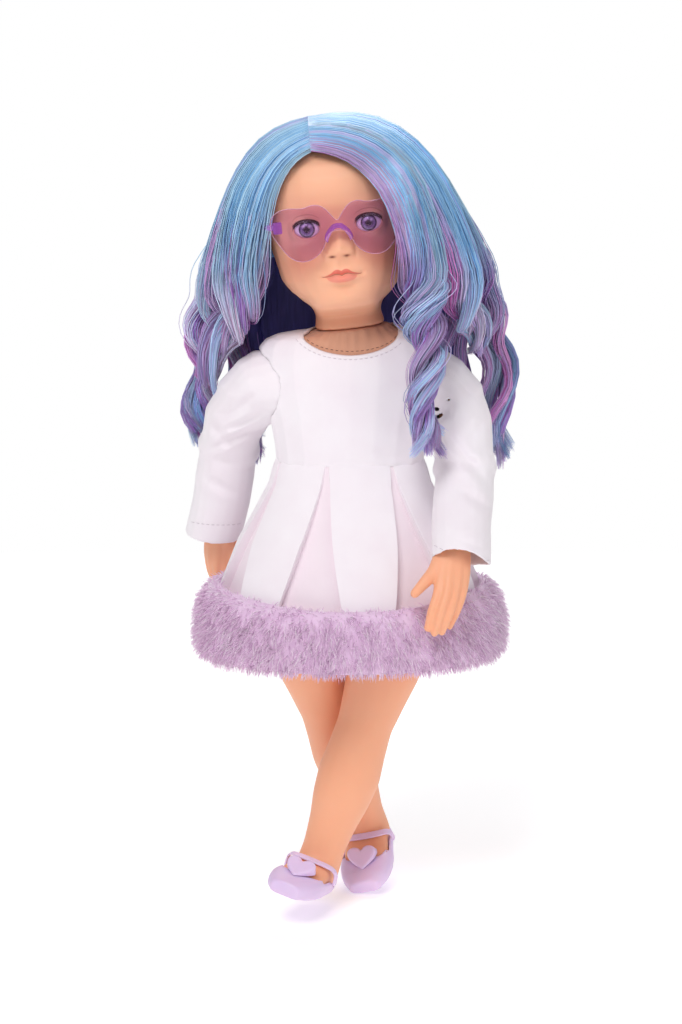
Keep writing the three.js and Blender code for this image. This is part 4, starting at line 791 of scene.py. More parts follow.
def drape(points, folds):
    """Presses folds into a piece's front: each is a line over x and z, a width and a depth in mm."""
    flat = (points - np.array(stand)) * 1000
    levels = np.round(flat[:, 2] / 5).astype(int)
    levels -= levels.min()
    middle = np.bincount(levels, flat[:, 1]) / np.maximum(1, np.bincount(levels))
    front = np.clip((middle[levels] + 2 - flat[:, 1]) / 8, 0, 1)
    across = flat[:, [0, 2]]
    for start, end, width, depth in folds:
        start, end = np.array(start, float), np.array(end, float)
        along = end - start
        share = np.clip((across - start) @ along / (along @ along), 0, 1)
        distance = np.linalg.norm(across - start - share[:, None] * along, axis=1)
        fade = np.sin(np.pi * np.clip(share, 0.03, 0.97)) ** 0.6
        beside = 0.45 * fade * np.exp(-((distance - 1.9 * width) / width) ** 2)
        press = fade * np.exp(-(distance / width) ** 2) - beside
        flat[:, 1] += depth * press * front
    return flat / 1000 + np.array(stand)


BODICE_FOLDS = [
    ((46, 268), (28, 284), 3.0, 0.7), ((-46, 272), (-28, 292), 3.0, 0.7), ((32, 262), (12, 268), 2.5, 0.5),
]


def lap_over_waist(points):
    """Pulls the lower edge of the bodice down over the skirt's seam allowance."""
    heights = (points[:, 2] - stand.z) * 1000
    points[:, 2] -= 0.0013 * np.clip((263 - heights) / 3, 0, 1)
    return drape(slope_shoulders(points), BODICE_FOLDS)


NECKLINE_WIDTH = 31
NECKLINE_DROP = 15.2
bodice = moulded_copy("bodice", "dress_bodice", 0.55, 0.9, shape=lap_over_waist)
scoop = bmesh.new()
bmesh.ops.create_cone(scoop, cap_ends=True, segments=96, radius1=1, radius2=1, depth=90)
bmesh.ops.rotate(scoop, verts=scoop.verts, matrix=Matrix.Rotation(math.pi / 2, 3, "X"))
for v in scoop.verts:
    height = NECK_HEIGHT + v.co.z * NECKLINE_DROP + 0.3 * (v.co.y + 25)
    v.co = Vector((v.co.x * NECKLINE_WIDTH, v.co.y, height)) / 1000 + stand
bmesh.ops.recalc_face_normals(scoop, faces=scoop.faces)
scoop_cutter = new_piece("scoop_cutter", scoop, smooth=False)
neckline = bodice.modifiers.new("neckline", "BOOLEAN")
neckline.operation = "DIFFERENCE"
neckline.object = scoop_cutter
freeze(bodice)
bpy.data.objects.remove(scoop_cutter)
fewer = bodice.modifiers.new("fewer_faces", "DECIMATE")
fewer.ratio = 0.2
freeze(bodice)
bodice.data.shade_smooth()
dress_in(bodice, crepe)
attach(bodice, "body")
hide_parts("bodice")

# Stitches: spun polyester thread in a row below the neckline, and a darker row on the cloth
# body that shows inside it.
sewing_thread = dyed("spun_polyester_thread", "F4EEF3", 0.6, Sheen_Weight=0.2)


def stitched(name, line, piece, facing, length, gap, thread_code, body):
    """Straight machine stitches along a line of places in mm, laid on a piece's surface."""
    tree = BVHTree.FromObject(piece, bpy.context.evaluated_depsgraph_get())
    line = np.array(line, float)
    run = np.concatenate([[0], np.cumsum(np.linalg.norm(np.diff(line, axis=0), axis=1))])
    paths = []
    for begin in np.arange(0, run[-1] - length, length + gap):
        stitch = []
        for share, sunk in ((0, 0.25), (0.2, -0.12), (0.5, -0.2), (0.8, -0.12), (1, 0.25)):
            at = [np.interp(begin + share * length, run, line[:, k]) for k in range(3)]
            hit = tree.ray_cast(Vector(at) / 1000 + stand - Vector(facing) * 0.05, Vector(facing))
            if hit[0] is not None:
                stitch.append(hit[0] + Vector(facing) * sunk / 1000)
        if len(stitch) == 5:
            paths.append(stitch)
    paths = np.array(paths)
    dyes = np.tile(np.array(linear(thread_code)[:3]), (*paths.shape[:2], 1))
    thread = fibres(name, paths, np.full(paths.shape[:2], 0.2 / 1000), dyes, sewing_thread)
    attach(thread, body)
    return thread


def along_neckline(lower):
    """The lower half of the neckline's oval, some millimetres below it."""
    turns = np.radians(np.linspace(200, 340, 60))
    across, drop = NECKLINE_WIDTH + lower, NECKLINE_DROP + lower
    return [(across * math.cos(a), -25, NECK_HEIGHT + drop * math.sin(a)) for a in turns]


stitched("neckline_topstitch", along_neckline(1.8), bodice, (0, 1, 0), 2.2, 0.8, "D9CCD6", "body")
stitched("body_cloth_stitches", along_neckline(-2.6), torso, (0, 1, 0), 1.8, 1.1, "7A4334", "body")

# Back flap: a strip of crepe sewn to one back of the bodice, over the hook and loop tape.
flap = moulded_copy("back_flap", "dress_back_flap", 0.5, 0.3, keep=0.5)
dress_in(flap, crepe)
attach(flap, "body")
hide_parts("back_flap")

# Sleeves: crepe tubes set into the armholes, with a stitched hem at each cuff. The folds are
# those of the bent arms.
SLEEVE_FOLDS = {
    "left": [
        ((54, 280), (84, 244), 2.6, 1.5), ((58, 262), (86, 262), 2.4, 1.3), ((60, 250), (88, 232), 2.6, 1.2),
        ((86, 296), (66, 274), 3.0, 0.9), ((62, 222), (84, 214), 2.2, 0.8),
    ],
    "right": [
        ((-50, 287), (-72, 276), 1.8, 1.7), ((-50, 280), (-84, 262), 2.2, 1.8), ((-53, 300), (-66, 288), 2.4, 1.0),
        ((-88, 288), (-66, 262), 2.8, 1.1), ((-86, 246), (-64, 234), 2.8, 1.0),
    ],
}


def set_in(points):
    """Draws the cap of a sleeve in under the edge of the armhole, and presses its folds."""
    across = (points[:, 0] - stand.x) * 1000
    heights = (points[:, 2] - stand.z) * 1000
    draw_cap_in(points)
    if across.mean() > 0:
        by_cuff = np.clip((228 - heights) / 16, 0, 1)
        forward = (points[:, 1] - stand.y) * 1000 + 47 + 0.75 * (218 - heights)
        points[:, 2] -= 0.001 * by_cuff * np.interp(forward, (-14, 14), (6, -3))
    points = slope_shoulders(points)
    return drape(points, SLEEVE_FOLDS["left" if across.mean() > 0 else "right"])


# The stitched hem of each cuff, as its height over the places across the doll.
CUFFS = {"left": ((48, 80), (218, 210)), "right": ((-92, -56), (217, 216))}
for side in ("left", "right"):
    sleeve = moulded_copy(f"{side}_sleeve", f"{side}_dress_sleeve", 0.7, 1.6, keep=0.32, shape=set_in)
    dress_in(sleeve, crepe)
    out = 1 if side == "left" else -1
    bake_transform(sleeve)
    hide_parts(f"{side}_sleeve")
    sleeve_points = (points_of(sleeve.data) - np.array(stand)) * 1000
    low = sleeve_points[sleeve_points[:, 2] < sleeve_points[:, 2].min() + 12]
    across = np.linspace(low[:, 0].min() + 1, low[:, 0].max() - 1, 30)
    hem = [(x, -120, np.interp(x, *CUFFS[side])) for x in across]
    stitched(f"{side}_cuff_topstitch", hem, sleeve, (0, 1, 0), 2.2, 0.8, "D3C6D0", f"{side}_arm")

# Skirt: one band of the same crepe laid in seven inverted pleats at the waist seam, pressed
# sharp at the top and opening towards the fur.
# WIDTHS and DEPTHS give the band's half width and half depth in mm at some heights.
PLEATS = 7
FIRST_PLEAT = math.radians(-107.6)
WAIST_Z = 261
EDGE_Z = 178
PLEAT_DEPTH = 5.6
WIDTHS = [
    (178, 78.5), (188, 75.5), (212, 66), (233, 54.5), (246, 47.7), (254, 45.6), (257.5, 44.4), (259, 43.6), (261, 42.4),
]
DEPTHS = [
    (178, 59), (188, 55.5), (212, 47), (233, 38.5), (246, 33.4), (254, 31.4), (257.5, 30.4), (259, 29.6), (261, 28.4),
]
ACROSS = 30
PANEL_EDGE = 0.2
DOWN = 34
skirt_shape = bmesh.new()
inner_panel = skirt_shape.verts.layers.float_color.new("fold")
hem_ring = bmesh.ops.create_circle(skirt_shape, segments=PLEATS * ACROSS, radius=1)["verts"]
rows = [hem_ring]
last_edges = list(skirt_shape.edges)
for _ in range(DOWN):
    grown = bmesh.ops.extrude_edge_only(skirt_shape, edges=last_edges)["geom"]
    lower = set(g for g in grown if isinstance(g, bmesh.types.BMVert))
    last_edges = [g for g in grown if isinstance(g, bmesh.types.BMEdge) and set(g.verts) <= lower]
    rows.append(list(lower))
for row, verts in enumerate(rows):
    drop = row / DOWN
    z = WAIST_Z - drop * (WAIST_Z - EDGE_Z)
    width = np.interp(z, *zip(*WIDTHS)) - 1.3
    depth = np.interp(z, *zip(*DEPTHS)) - 1.3
    opening = 0.012 + 0.27 * drop
    for v in verts:
        turn = math.atan2(v.co.y, v.co.x) / (2 * math.pi) * PLEATS
        column = turn - round(turn)
        beyond = (abs(column) - PANEL_EDGE) / (0.5 - PANEL_EDGE)
        folded = abs(column) < PANEL_EDGE - 0.5 / ACROSS
        if folded:
            share = opening * 1.05 * abs(column) / (PANEL_EDGE - 1 / ACROSS)
        else:
            share = opening + max(0.0, beyond) * (0.5 - opening)
        share = math.copysign(share, column)
        rise = 0.9 * drop * math.exp(-max(0.0, beyond) / 0.12)
        inward = PLEAT_DEPTH * min(1, 0.1 + 1.6 * drop) if folded else -rise
        angle = FIRST_PLEAT + 2 * math.pi * (round(turn) + share) / PLEATS
        ring_place = (math.cos(angle) * (width - inward), math.sin(angle) * (depth - inward), z)
        v.co = Vector(ring_place) / 1000 + stand
        v[inner_panel] = (1, 1, 1, 1) if folded else (0, 0, 0, 1)
# The pleats' inner panels are painted a pinker tone: painted shade in the recesses.
pleated_crepe = weave("pleated_polyester_crepe", "F5EFF4", "EFE3EB", 0.45, roughness=0.8, sheen=0.35, depth=0.25)
recess_shade = add(pleated_crepe, "ShaderNodeAttribute", attribute_name="fold")
pleat_shader = pleated_crepe.node_tree.nodes["Principled BSDF"]
plain = pleat_shader.inputs["Base Color"].links[0].from_socket
pleat_tone_with_shade = mixed(pleated_crepe, product(pleated_crepe, recess_shade.outputs["Fac"], 0.5), plain, "F1DCE6")
paint(pleated_crepe, pleat_shader, Base_Color=pleat_tone_with_shade)
skirt = new_piece("dress_skirt", skirt_shape, pleated_crepe)
wall = skirt.modifiers.new("cloth_thickness", "SOLIDIFY")
wall.thickness = 0.0008
wall.offset = -1
freeze(skirt)
skirt.data.shade_smooth()
skirt.data.set_sharp_from_angle(angle=math.radians(32))
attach(skirt, "body")
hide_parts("skirt")

# Fur hem: a band of lilac long-pile polyester plush sewn round the skirt's edge.
plush, plush_shader = finish_of("long_pile_plush", "D6ACD4", 0.8, Sheen_Weight=0.5)
plush_tufts = noise(plush, place_on(plush), 130.0, 3.0)
paint(plush, plush_shader, Base_Color=mixed(plush, plush_tufts, "D6ACD4", "F0D8EE"))
pile_fibre = dyed("plush_pile_fibre", "D2B4D6", 0.6, Sheen_Weight=0.3)
backing = moulded_copy("fur_hem", "fur_backing", 1.3, 5, keep=0.3)
dress_in(backing, plush)
surface = backing.data
surface.calc_loop_triangles()
corners = points_of(surface)[np.array([t.vertices for t in surface.loop_triangles])]
normals = np.cross(corners[:, 1] - corners[:, 0], corners[:, 2] - corners[:, 0])
areas = np.linalg.norm(normals, axis=1)
normals /= areas[:, None]
middle = corners.mean(1) - np.array(stand)
flat_out = middle[:, :2] / np.linalg.norm(middle[:, :2], axis=1)[:, None]
outer = (normals[:, :2] * flat_out).sum(1) > -0.35
FUR_FIBRES = 15000
PILE = 9
PILE_DYES = (("ECCAE8", 0.35), ("F4D8F0", 0.35), ("FBECF9", 0.2), ("DDB4DA", 0.1))
rng = np.random.RandomState(21)
chosen = rng.choice(len(areas), FUR_FIBRES, p=areas * outer / (areas * outer).sum())
mix = rng.dirichlet((1, 1, 1), FUR_FIBRES)
roots = (corners[chosen] * mix[:, :, None]).sum(1) - normals[chosen] * 0.003
tuft = roots * 1000
sway = np.stack([
    np.sin(tuft[:, 0] * 0.33 + 1.7 * np.sin(tuft[:, 2] * 0.21)) + 0.6 * np.sin(tuft[:, 0] * 0.9 + tuft[:, 2] * 0.7),
    np.sin(tuft[:, 1] * 0.37 + tuft[:, 2] * 0.3),
    0.7 * np.sin(tuft[:, 0] * 0.27 + tuft[:, 1] * 0.31 + 2),
], 1)
aim_out = normals[chosen] * 0.8 + 0.22 * sway + rng.normal(0, 0.3, (FUR_FIBRES, 3)) + np.array([0, 0, -0.25])
aim_out /= np.linalg.norm(aim_out, axis=1)[:, None]
reach = np.linspace(0, 1, 4)[None, :, None]
length = PILE * rng.uniform(0.65, 1.1, FUR_FIBRES) / 1000
length = (length * (1 - 0.45 * np.clip(-normals[chosen][:, 2], 0, 1)))[:, None, None]
fall = np.array([0, 0, -0.35])[None, None] * reach ** 2
paths = roots[:, None] + length * (aim_out[:, None] * reach + fall)
pile_codes, pile_odds = zip(*PILE_DYES)
dyes = np.array([linear(code)[:3] for code in pile_codes])[rng.choice(4, FUR_FIBRES, p=pile_odds)]
# Each fibre is darker at its root than at its tip: painted shade deep in the pile.
dyes = dyes[:, None] * np.linspace(0.88, 1.08, 4)[None, :, None]
radii = np.array([0.3, 0.3, 0.23, 0.07])[None].repeat(FUR_FIBRES, 0) / 1000
for end, half in (("front", roots[:, 1] < stand.y), ("back", roots[:, 1] >= stand.y)):
    pile = fibres(f"fur_pile_{end}", paths[half], radii[half], dyes[half], pile_fibre)
    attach(pile, "body")
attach(backing, "body")
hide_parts("fur_hem")

# Hair: rooted modacrylic fibre, combed from a parting on the doll's right over the skull and set
# in waves. Blue at the roots, dyed violet, lilac and magenta in tresses towards the ends.
# The combed surface has a half width, a front and a back depth in mm at heights over the neck.
PARTING = -11
BELL_WIDTH = [
    (42, 76), (60, 71), (71, 66.5), (83.5, 60.5), (95, 53), (106.6, 45), (113, 38), (118, 29), (121.5, 18), (123.5, 2),
]
BELL_FRONT = [(42, 40), (60, 45), (80, 50), (95, 48), (106, 40), (113, 32), (118, 24), (121.5, 14), (123.5, 2)]
BELL_BACK = [(42, 64), (60, 66), (80, 63), (95, 56), (106, 46), (113, 37), (118, 28), (121.5, 17), (123.5, 2)]
SKULL_MIDDLE = np.array([0, 0, 60.0])


def on_bell(directions, lift):
    """Points of the combed surface in given directions from the middle of the skull, in head mm."""
    low, high = np.zeros(directions.shape[:-1]), np.full(directions.shape[:-1], 130.0)
    for _ in range(22):
        radius = (low + high) / 2
        p = directions * radius[..., None] + SKULL_MIDDLE
        w = np.interp(p[..., 2], *zip(*BELL_WIDTH))
        front, back = np.interp(p[..., 2], *zip(*BELL_FRONT)), np.interp(p[..., 2], *zip(*BELL_BACK))
        d = np.where(p[..., 1] < 0, front, back)
        inside = (np.abs(p[..., 0] / w) ** 2.1 + np.abs(p[..., 1] / d) ** 2.1 < 1) & (p[..., 2] < 123.5)
        low, high = np.where(inside, radius, low), np.where(inside, high, radius)
    return directions * (low + lift)[..., None] + SKULL_MIDDLE


def combed(name, colour, squeeze, scale, dark, light, strength):
    """A mass of combed fibre seen as one, with fine streaks that run down it."""
    material, shader = finish_of(name, colour, 0.5)
    drawn = add(material, "ShaderNodeMapping", {"Vector": place_on(material), "Scale": (1.0, 1.0, squeeze)})
    streak = noise(material, drawn.outputs["Vector"], scale)
    relief = bumps(material, streak, strength, 0.0006)
    paint(material, shader, Base_Color=mixed(material, streak, dark, light), Normal=relief)
    return material


dark_mass = combed("modacrylic_in_shade", "34347C", 0.1, 600.0, "262A66", "5A54A8", 0.7)
hair_mass = combed("rooted_modacrylic_mass", "5C92D6", 0.12, 700.0, "345AA8", "7DB0E4", 0.6)


def resized(across, deep):
    """A shaping that scales a lock's copy about its own middle line, level by level."""
    def shape(points):
        levels = np.round(points[:, 2] / 0.004)
        for level in np.unique(levels):
            at = levels == level
            middle = points[at, :2].mean(0)
            inward = (middle - np.array(stand)[:2]) * 0.004 / np.linalg.norm(middle - np.array(stand)[:2])
            points[at, :2] = middle - inward + np.array([across, deep]) * (points[at, :2] - middle)
        heights = (points[:, 2] - stand.z) * 1000
        shorter = 0.16 * (370 - heights) * (heights < 370)
        points[:, 2] += 0.001 * (shorter + 4 * np.clip((heights - 366) / 10, 0, 1))
        return points
    return shape


# Dark cores inside the back tresses: a dark mass painted as the shade among the strands.
for node_name, across in (("hair_back", 1.4), ("left_back_wave", 0.7), ("right_back_wave", 0.7)):
    core = moulded_copy(node_name, f"{node_name}_core", 1.6, 6, keep=0.4, shape=resized(across, 0.6))
    dress_in(core, dark_mass)
    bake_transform(core)

DYES = {
    "light": "BCE2FC", "mid": "86C4F6", "deep": "4A8EDC", "violet": "B080DA", "lilac": "DCC0F4",
    "magenta": "EA7CD2", "pale": "ECE4FA", "navy": "34347C",
}
TOP_DYES = (("light", 0.46), ("mid", 0.4), ("deep", 0.09), ("lilac", 0.03), ("magenta", 0.02))
END_DYES = (("light", 0.2), ("mid", 0.05), ("violet", 0.24), ("lilac", 0.26), ("magenta", 0.16), ("pale", 0.09))
# Darker colours painted on strands deep in a tress, as painted shade.
INNER_SHADE_DYES = (("deep", 0.4), ("navy", 0.3), ("violet", 0.3))

hair_fibre, hair_shader = finish_of("modacrylic_fibre", "7FB2E4", 0.36, Specular_IOR_Level=0.55, IOR=1.52)
hair_dye = add(hair_fibre, "ShaderNodeAttribute", attribute_name="dye")
hair_share = ranged(hair_fibre, noise(hair_fibre, place_on(hair_fibre), 90.0), 0.85, 1.2)
hair_tone = add(hair_fibre, "ShaderNodeVectorMath", {
    0: hair_dye.outputs["Color"], "Scale": hair_share,
}, operation="SCALE")
paint(hair_fibre, hair_shader, Base_Color=hair_tone.outputs["Vector"])


def draw_in(points):
    """Shrinks a copy towards the middle of the skull so that the strands lie over it."""
    local = in_head(points)
    away = local - SKULL_MIDDLE
    at_brow = np.clip((-local[:, 1] - 16) / 12, 0, 1) * np.clip((local[:, 2] - 60) / 10, 0, 1)
    local -= away / np.linalg.norm(away, axis=1)[:, None] * (2.4 + 8 * at_brow[:, None])
    low = np.clip((86 - local[:, 2]) / 14, 0, 1)
    local[:, 0] *= 1 - 0.12 * low
    ear = -4 + 0.12 * (local[:, 1] + 4)
    local[:, 1] = np.where(local[:, 1] < -4, local[:, 1] * (1 - low) + ear * low, local[:, 1])
    return from_head(local)


for side in ("left", "right"):
    mass = moulded_copy(f"hair_crown_{side}", f"hair_rooting_{side}", 1.2, 4, keep=0.3, shape=draw_in)
    dress_in(mass, hair_mass)
    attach(mass, "head")
    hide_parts(f"hair_crown_{side}")

# Each tress: what part of the parting it is rooted in (0 at the forehead, 1 at the back), the
# directions in degrees over which it bends (at a height as a share of the distance out) and in
# which it leaves the crown (0 is the doll's left, -90 its front), and how far it stands off there.
# Then its route below the crown in mm with its radii, the share of its depth, the height and
# number of its waves, how often its locks turn about each other, its locks and its strands.
TRESSES = {
    "front_ringlet": dict(
        roots=(0.0, 0.3), bends=(-62, -34), height=0.58, leaves=(-53, -28), lift=8,
        route=[(41, -42, 376), (42, -46, 345), (43, -48, 312), (42, -50, 266)], radius=(14, 15, 14, 12), flat=0.8,
        wave=(2.0, 2.0), twist=2.1, locks=8, strands=700, steps=28, streak=0.62,
    ),
    "left_side_lock": dict(
        roots=(0.2, 0.5), bends=(-46, -6), height=0.7, leaves=(-36, -4), lift=4,
        route=[(60, -20, 376), (63, -17, 352), (69, -6, 338), (76, 8, 322)], radius=(15, 14, 12, 8), flat=0.8,
        wave=(5.0, 1.6), twist=0.6, locks=9, strands=840, steps=16, streak=0.3,
    ),
    "left_wave": dict(
        roots=(0.4, 0.75), bends=(-14, 42), height=0.66, leaves=(-10, 42), lift=2,
        route=[(67, 14, 376), (73, 30, 345), (85, 42, 308), (86, 44, 246)], radius=(19, 17, 15, 11), flat=0.8,
        wave=(7.0, 2.9), twist=0.8, locks=10, strands=770, steps=26, streak=None,
    ),
    "left_back_wave": dict(
        roots=(0.65, 1.0), bends=(22, 72), height=0.6, leaves=(24, 72), lift=1,
        route=[(50, 48, 376), (57, 52, 345), (61, 54, 300), (56, 52, 250)], radius=(15, 15, 15, 10), flat=0.5,
        wave=(3.5, 2.5), twist=0.5, locks=12, strands=610, steps=28, streak=None,
    ),
    "hair_back": dict(
        roots=(0.8, 1.15), bends=(48, 132), height=0.6, leaves=(58, 122), lift=0,
        route=[(-4, 58, 376), (-3, 57, 340), (-1, 56, 300), (0, 54, 246)], radius=(48, 52, 50, 44), flat=0.14,
        wave=(3.0, 2.5), twist=0.0, locks=30, strands=940, steps=20, streak=None,
    ),
    "right_side_lock": dict(
        roots=(0.0, 0.4), bends=(-126, -166), height=0.66, leaves=(-133, -176), lift=4,
        route=[(-60, -12, 374), (-62, -10, 350), (-72, 3, 330), (-85, 18, 296)], radius=(20, 17, 14, 9), flat=0.7,
        wave=(5.0, 1.8), twist=0.7, locks=9, strands=850, steps=18, streak=None,
    ),
    "right_wave": dict(
        roots=(0.35, 0.75), bends=(-160, -220), height=0.66, leaves=(-168, -222), lift=2,
        route=[(-70, 12, 372), (-78, 32, 340), (-88, 44, 306), (-87, 50, 262)], radius=(19, 17, 14, 10), flat=0.8,
        wave=(7.0, 2.6), twist=0.8, locks=10, strands=770, steps=26, streak=None,
    ),
    "right_back_wave": dict(
        roots=(0.65, 1.0), bends=(-204, -252), height=0.6, leaves=(-204, -252), lift=1,
        route=[(-53, 50, 372), (-60, 56, 340), (-64, 58, 300), (-58, 57, 246)], radius=(15, 15, 14, 10), flat=0.5,
        wave=(3.5, 2.5), twist=0.5, locks=12, strands=610, steps=28, streak=None,
    ),
}
LENS_MIDDLE = 61
LENS_SIDE = 46
LENS_FRONT = -60.5


def parting_point(share):
    """A root on the parting line, from the forehead over the crown to the back of the head."""
    angle = np.radians(-46 + 88 * np.clip(share, 0, 1.2))
    return np.stack([np.full_like(share, PARTING / 66.0), np.sin(angle) * 0.9, np.cos(angle)], -1)


def turn_between(one, other, share):
    """Directions on the arc from one to another."""
    wide = np.arccos(np.clip((one * other).sum(-1, keepdims=True), -1, 0.9999))
    return (np.sin((1 - share) * wide) * one + np.sin(share * wide) * other) / np.sin(wide)


def pick(table, count, rng):
    names, odds = zip(*table)
    found = rng.choice(len(names), count, p=np.array(odds) / sum(odds))
    return np.array([linear(DYES[n])[:3] for n in names])[found]


def over_the_lens(points):
    """Hair of the swoop lies in front of the outer end of the lens."""
    local = in_head(points)
    near = np.clip((34 - np.abs(local[:, 2] - LENS_MIDDLE)) / 14, 0, 1)
    near = near * np.clip((LENS_SIDE - local[:, 0]) / 6, 0, 1)
    near = near * near * (3 - 2 * near) * (local[:, 0] > 0) * (local[:, 1] < -20)
    ahead = LENS_FRONT + 0.25 * (local[:, 1] + 45)
    local[:, 1] += near * np.minimum(0, ahead - local[:, 1])
    return from_head(local)


OVER_CROWN = 11
FIBRE = 0.275
LOOSE = 0.42
LOCK_SPREAD = 0.8
for number_of, (name, tress) in enumerate(TRESSES.items()):
    # Where each strand lies in its tress: its lock's place, and its own about that.
    rng = np.random.RandomState(100 + number_of)
    count, locks = tress["strands"], tress["locks"]
    lock_of = np.arange(count) % locks
    spread = np.sqrt((np.arange(locks) + 0.5) / locks) * LOCK_SPREAD
    turn = 2.4 * np.arange(locks) + rng.uniform(0, 1)
    own_turn, own_out = rng.uniform(0, 2 * np.pi, count), 1.5 * np.sqrt(rng.uniform(0, 1, count))
    own = np.stack([own_out * np.cos(own_turn), own_out * np.sin(own_turn)])
    across = spread[lock_of] * np.cos(turn[lock_of]) + LOOSE * own[0]
    deep = spread[lock_of] * np.sin(turn[lock_of]) + LOOSE * own[1]

    # Over the crown: from the parting, round a bend, to where the tress leaves.
    low, high = tress["roots"]
    first, last = tress["leaves"]
    share = np.clip(0.5 + across / 2.3 + rng.normal(0, 0.04, count), 0, 1)
    start = parting_point(low + (high - low) * share)
    start /= np.linalg.norm(start, axis=1)[:, None]
    azimuth = np.radians(first + (last - first) * share)
    end = np.stack([np.cos(azimuth), np.sin(azimuth), np.full(count, -0.2)], 1)
    end /= np.linalg.norm(end, axis=1)[:, None]
    bend = np.radians(tress["bends"][0] + (tress["bends"][1] - tress["bends"][0]) * share)
    climb = 0.3 * share * (name == "front_ringlet")
    bend = np.stack([np.cos(bend), np.sin(bend), tress["height"] + climb], 1)
    bend /= np.linalg.norm(bend, axis=1)[:, None]
    s = np.linspace(0, 1, OVER_CROWN)
    first_arc = turn_between(start[:, None], bend[:, None], s[None, :, None])
    last_arc = turn_between(bend[:, None], end[:, None], s[None, :, None])
    aim_at = turn_between(first_arc, last_arc, s[None, :, None])
    layer = 0.4 + 1.5 * np.clip(deep, -1, 1)[:, None] * np.minimum(1, 3 * s)[None] + tress["lift"] * (s ** 2)[None]
    layer = layer - 1.6 * np.exp(-(s / 0.05) ** 2)[None] + 0.5 * np.sin(9 * s[None] + 5 * across[:, None]) * s[None]
    over = from_head(on_bell(aim_at, layer).reshape(-1, 3)).reshape(count, OVER_CROWN, 3)

    # Below the crown: along the route, u across the tress and v outwards from the head.
    t = np.linspace(0, 1, tress["steps"])
    route = np.array(tress["route"], float)
    centre = smooth_route(route, t)
    along = np.gradient(centre, axis=0)
    along /= np.linalg.norm(along, axis=1)[:, None]
    facing = math.radians((first + last) / 2)
    out = np.array([math.cos(facing), math.sin(facing), 0])
    sideways = np.array([-out[1], out[0], 0]) * (1 if last > first else -1)
    u = sideways - along * (along @ sideways)[:, None]
    u /= np.linalg.norm(u, axis=1)[:, None]
    v = np.cross(u, along)
    v *= np.sign(v @ out)[:, None]
    radius = np.interp(t, np.linspace(0, 1, 4), tress["radius"])[None]
    own_twist = tress["twist"] * (1 + 0.15 * rng.normal(0, 1, locks))
    turned = 2 * np.pi * own_twist[lock_of][:, None] * t[None] + turn[lock_of][:, None]
    tight = LOOSE * (1 - 0.62 * np.minimum(1, 1.3 * t))[None]
    amplitude, waves = tress["wave"]
    phase = 2 * np.pi * waves * t[None] + 0.9 * rng.normal(0, 1, locks)[lock_of][:, None] + 1.3 * number_of
    swing = amplitude * np.minimum(1, 2.5 * t)[None]
    tip = np.clip((t[None] - 0.66) / 0.34, 0, 1) ** 1.3
    flip = 2 * np.pi * 1.1 * tip + rng.uniform(0, 2 * np.pi, locks)[lock_of][:, None]
    fly = np.where(rng.uniform(0, 1, count) < 0.02, 1.8, 1.0)[:, None]
    lock_out = spread[lock_of][:, None]
    a = (lock_out * np.cos(turned) + tight * fly * own[0][:, None]) * radius
    a = a + swing * np.sin(phase) + 6 * tip * np.cos(flip)
    b = (lock_out * np.sin(turned) + tight * fly * own[1][:, None]) * radius * tress["flat"]
    b = b - 0.7 * swing * np.cos(phase) + 4 * tip * np.sin(flip)
    hang = centre[None] + a[..., None] * u[None] + b[..., None] * v[None]
    shorter = rng.uniform(0.86, 1.0, locks)[lock_of] * rng.uniform(0.95, 1.0, count)
    hang[..., 2] = route[0, 2] + (hang[..., 2] - route[0, 2]) * shorter[:, None]
    hang = hang / 1000 + np.array(stand)

    whole = np.concatenate([over[:, :-2], hang[:, 1:]], 1)
    for _ in range(3):
        whole[:, 1:-1] = 0.5 * whole[:, 1:-1] + 0.25 * (whole[:, :-2] + whole[:, 2:])
    if name == "front_ringlet":
        whole = over_the_lens(whole.reshape(-1, 3)).reshape(whole.shape)

    # Colours: each lock's and each strand's dye, changing at a height, with painted shade on the strands deep inside
    # the tress.
    steps = whole.shape[1]
    height = (whole[..., 2] - stand.z) * 1000
    top_dye = pick(TOP_DYES, locks, rng)[lock_of] * 0.5 + pick(TOP_DYES, count, rng) * 0.5
    low_dye = pick(END_DYES, locks, rng)[lock_of] * 0.6 + pick(END_DYES, count, rng) * 0.4
    inner = pick(INNER_SHADE_DYES, count, rng)
    change = rng.uniform(345, 400, locks)[lock_of][:, None] + rng.normal(0, 6, (count, 1))
    part = np.clip((change - height) / 34 + 0.5, 0, 1)[..., None]
    dyes = top_dye[:, None] * (1 - part) + low_dye[:, None] * part
    shaded_inside = np.clip(-deep - 0.3, 0, 1)[:, None, None] * 0.7
    dyes = dyes * (1 - shaded_inside) + inner[:, None] * shaded_inside
    dyes = dyes * rng.uniform(0.78, 1.12, (locks, 1, 1))[lock_of] * rng.uniform(0.85, 1.12, (count, 1, 1))
    if tress["streak"]:
        streaked = np.abs(share - tress["streak"]) < rng.uniform(0.01, 0.06, count)
        dyes[streaked] = 0.5 * dyes[streaked] + 0.5 * np.array(linear(DYES["lilac"])[:3])
    radii = np.full((count, steps), FIBRE) * rng.uniform(0.75, 1.2, (count, 1))
    radii *= np.interp(np.linspace(0, 1, steps), [0, 0.05, 0.85, 1], [0.7, 1, 0.9, 0.3])[None]
    piece = fibres(f"{name}_strands", whole, radii / 1000, dyes, hair_fibre)
    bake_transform(piece)
    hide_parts(name)

# Sunglasses: the front is one sheet of clear rose acrylic cut as two hearts with a polished
# edge; bridge, end blocks and temples are clear purple polycarbonate.
def clear(name, colour, roughness, film):
    """A tinted clear plastic, as a film that light passes, mixed with a gloss."""
    material, shader = finish_of(name, colour, roughness)
    passed = add(material, "ShaderNodeBsdfTransparent", {"Color": linear(film)})
    mix = add(material, "ShaderNodeMixShader", {1: passed.outputs[0], 2: shader.outputs[0]})
    surface = material.node_tree.nodes["Material Output"].inputs["Surface"]
    material.node_tree.links.new(mix.outputs[0], surface)
    return material, mix


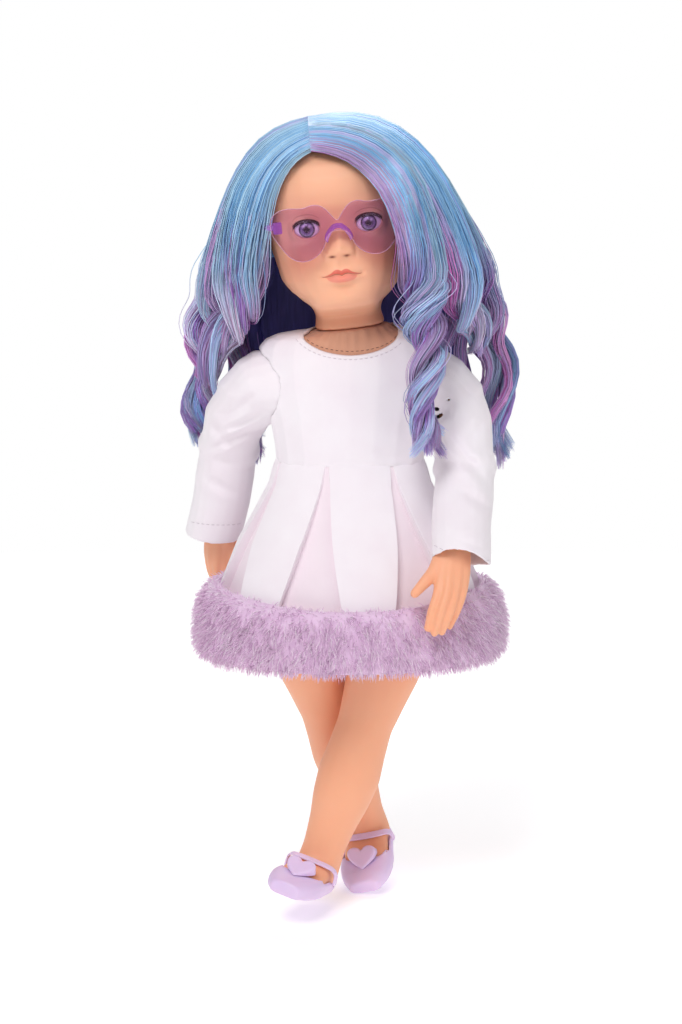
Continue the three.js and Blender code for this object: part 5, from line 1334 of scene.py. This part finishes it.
rose, rose_mix = clear("rose_acrylic_sheet", "F7C2D6", 0.05, "F1E3F7")
rose_gloss = add(rose, "ShaderNodeFresnel", {"IOR": 1.4})
rose_normal = add(rose, "ShaderNodeNewGeometry")
rose_facing = add(rose, "ShaderNodeVectorMath", {
    0: rose_normal.outputs["Normal"], 1: (0, 1, 0),
}, operation="DOT_PRODUCT")
rose_edge = ramp(rose, 0.97, number(rose, "ABSOLUTE", rose_facing.outputs["Value"]), 0.4)
rose_share = number(rose, "MULTIPLY_ADD", rose_gloss.outputs[0], 0.9, product(rose, rose_edge, 0.75), clamp=True)
rose.node_tree.links.new(rose_share, rose_mix.inputs[0])
purple, purple_mix = clear("clear_purple_polycarbonate", "DDA2F6", 0.08, "F5E2FE")
purple_mix.inputs[0].default_value = 0.5
GLASSES = {
    "lens_front": ("rose_lens", rose),
    "nose_bridge": ("purple_bridge", purple),
    "left_temple": ("left_purple_temple", purple),
    "right_temple": ("right_purple_temple", purple),
}
for node_name, (piece_name, material) in GLASSES.items():
    piece = moulded_copy(node_name, piece_name, 0.5, 0.35, keep=0.4)
    dress_in(piece, material)
    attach(piece, "glasses")
    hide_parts(node_name)
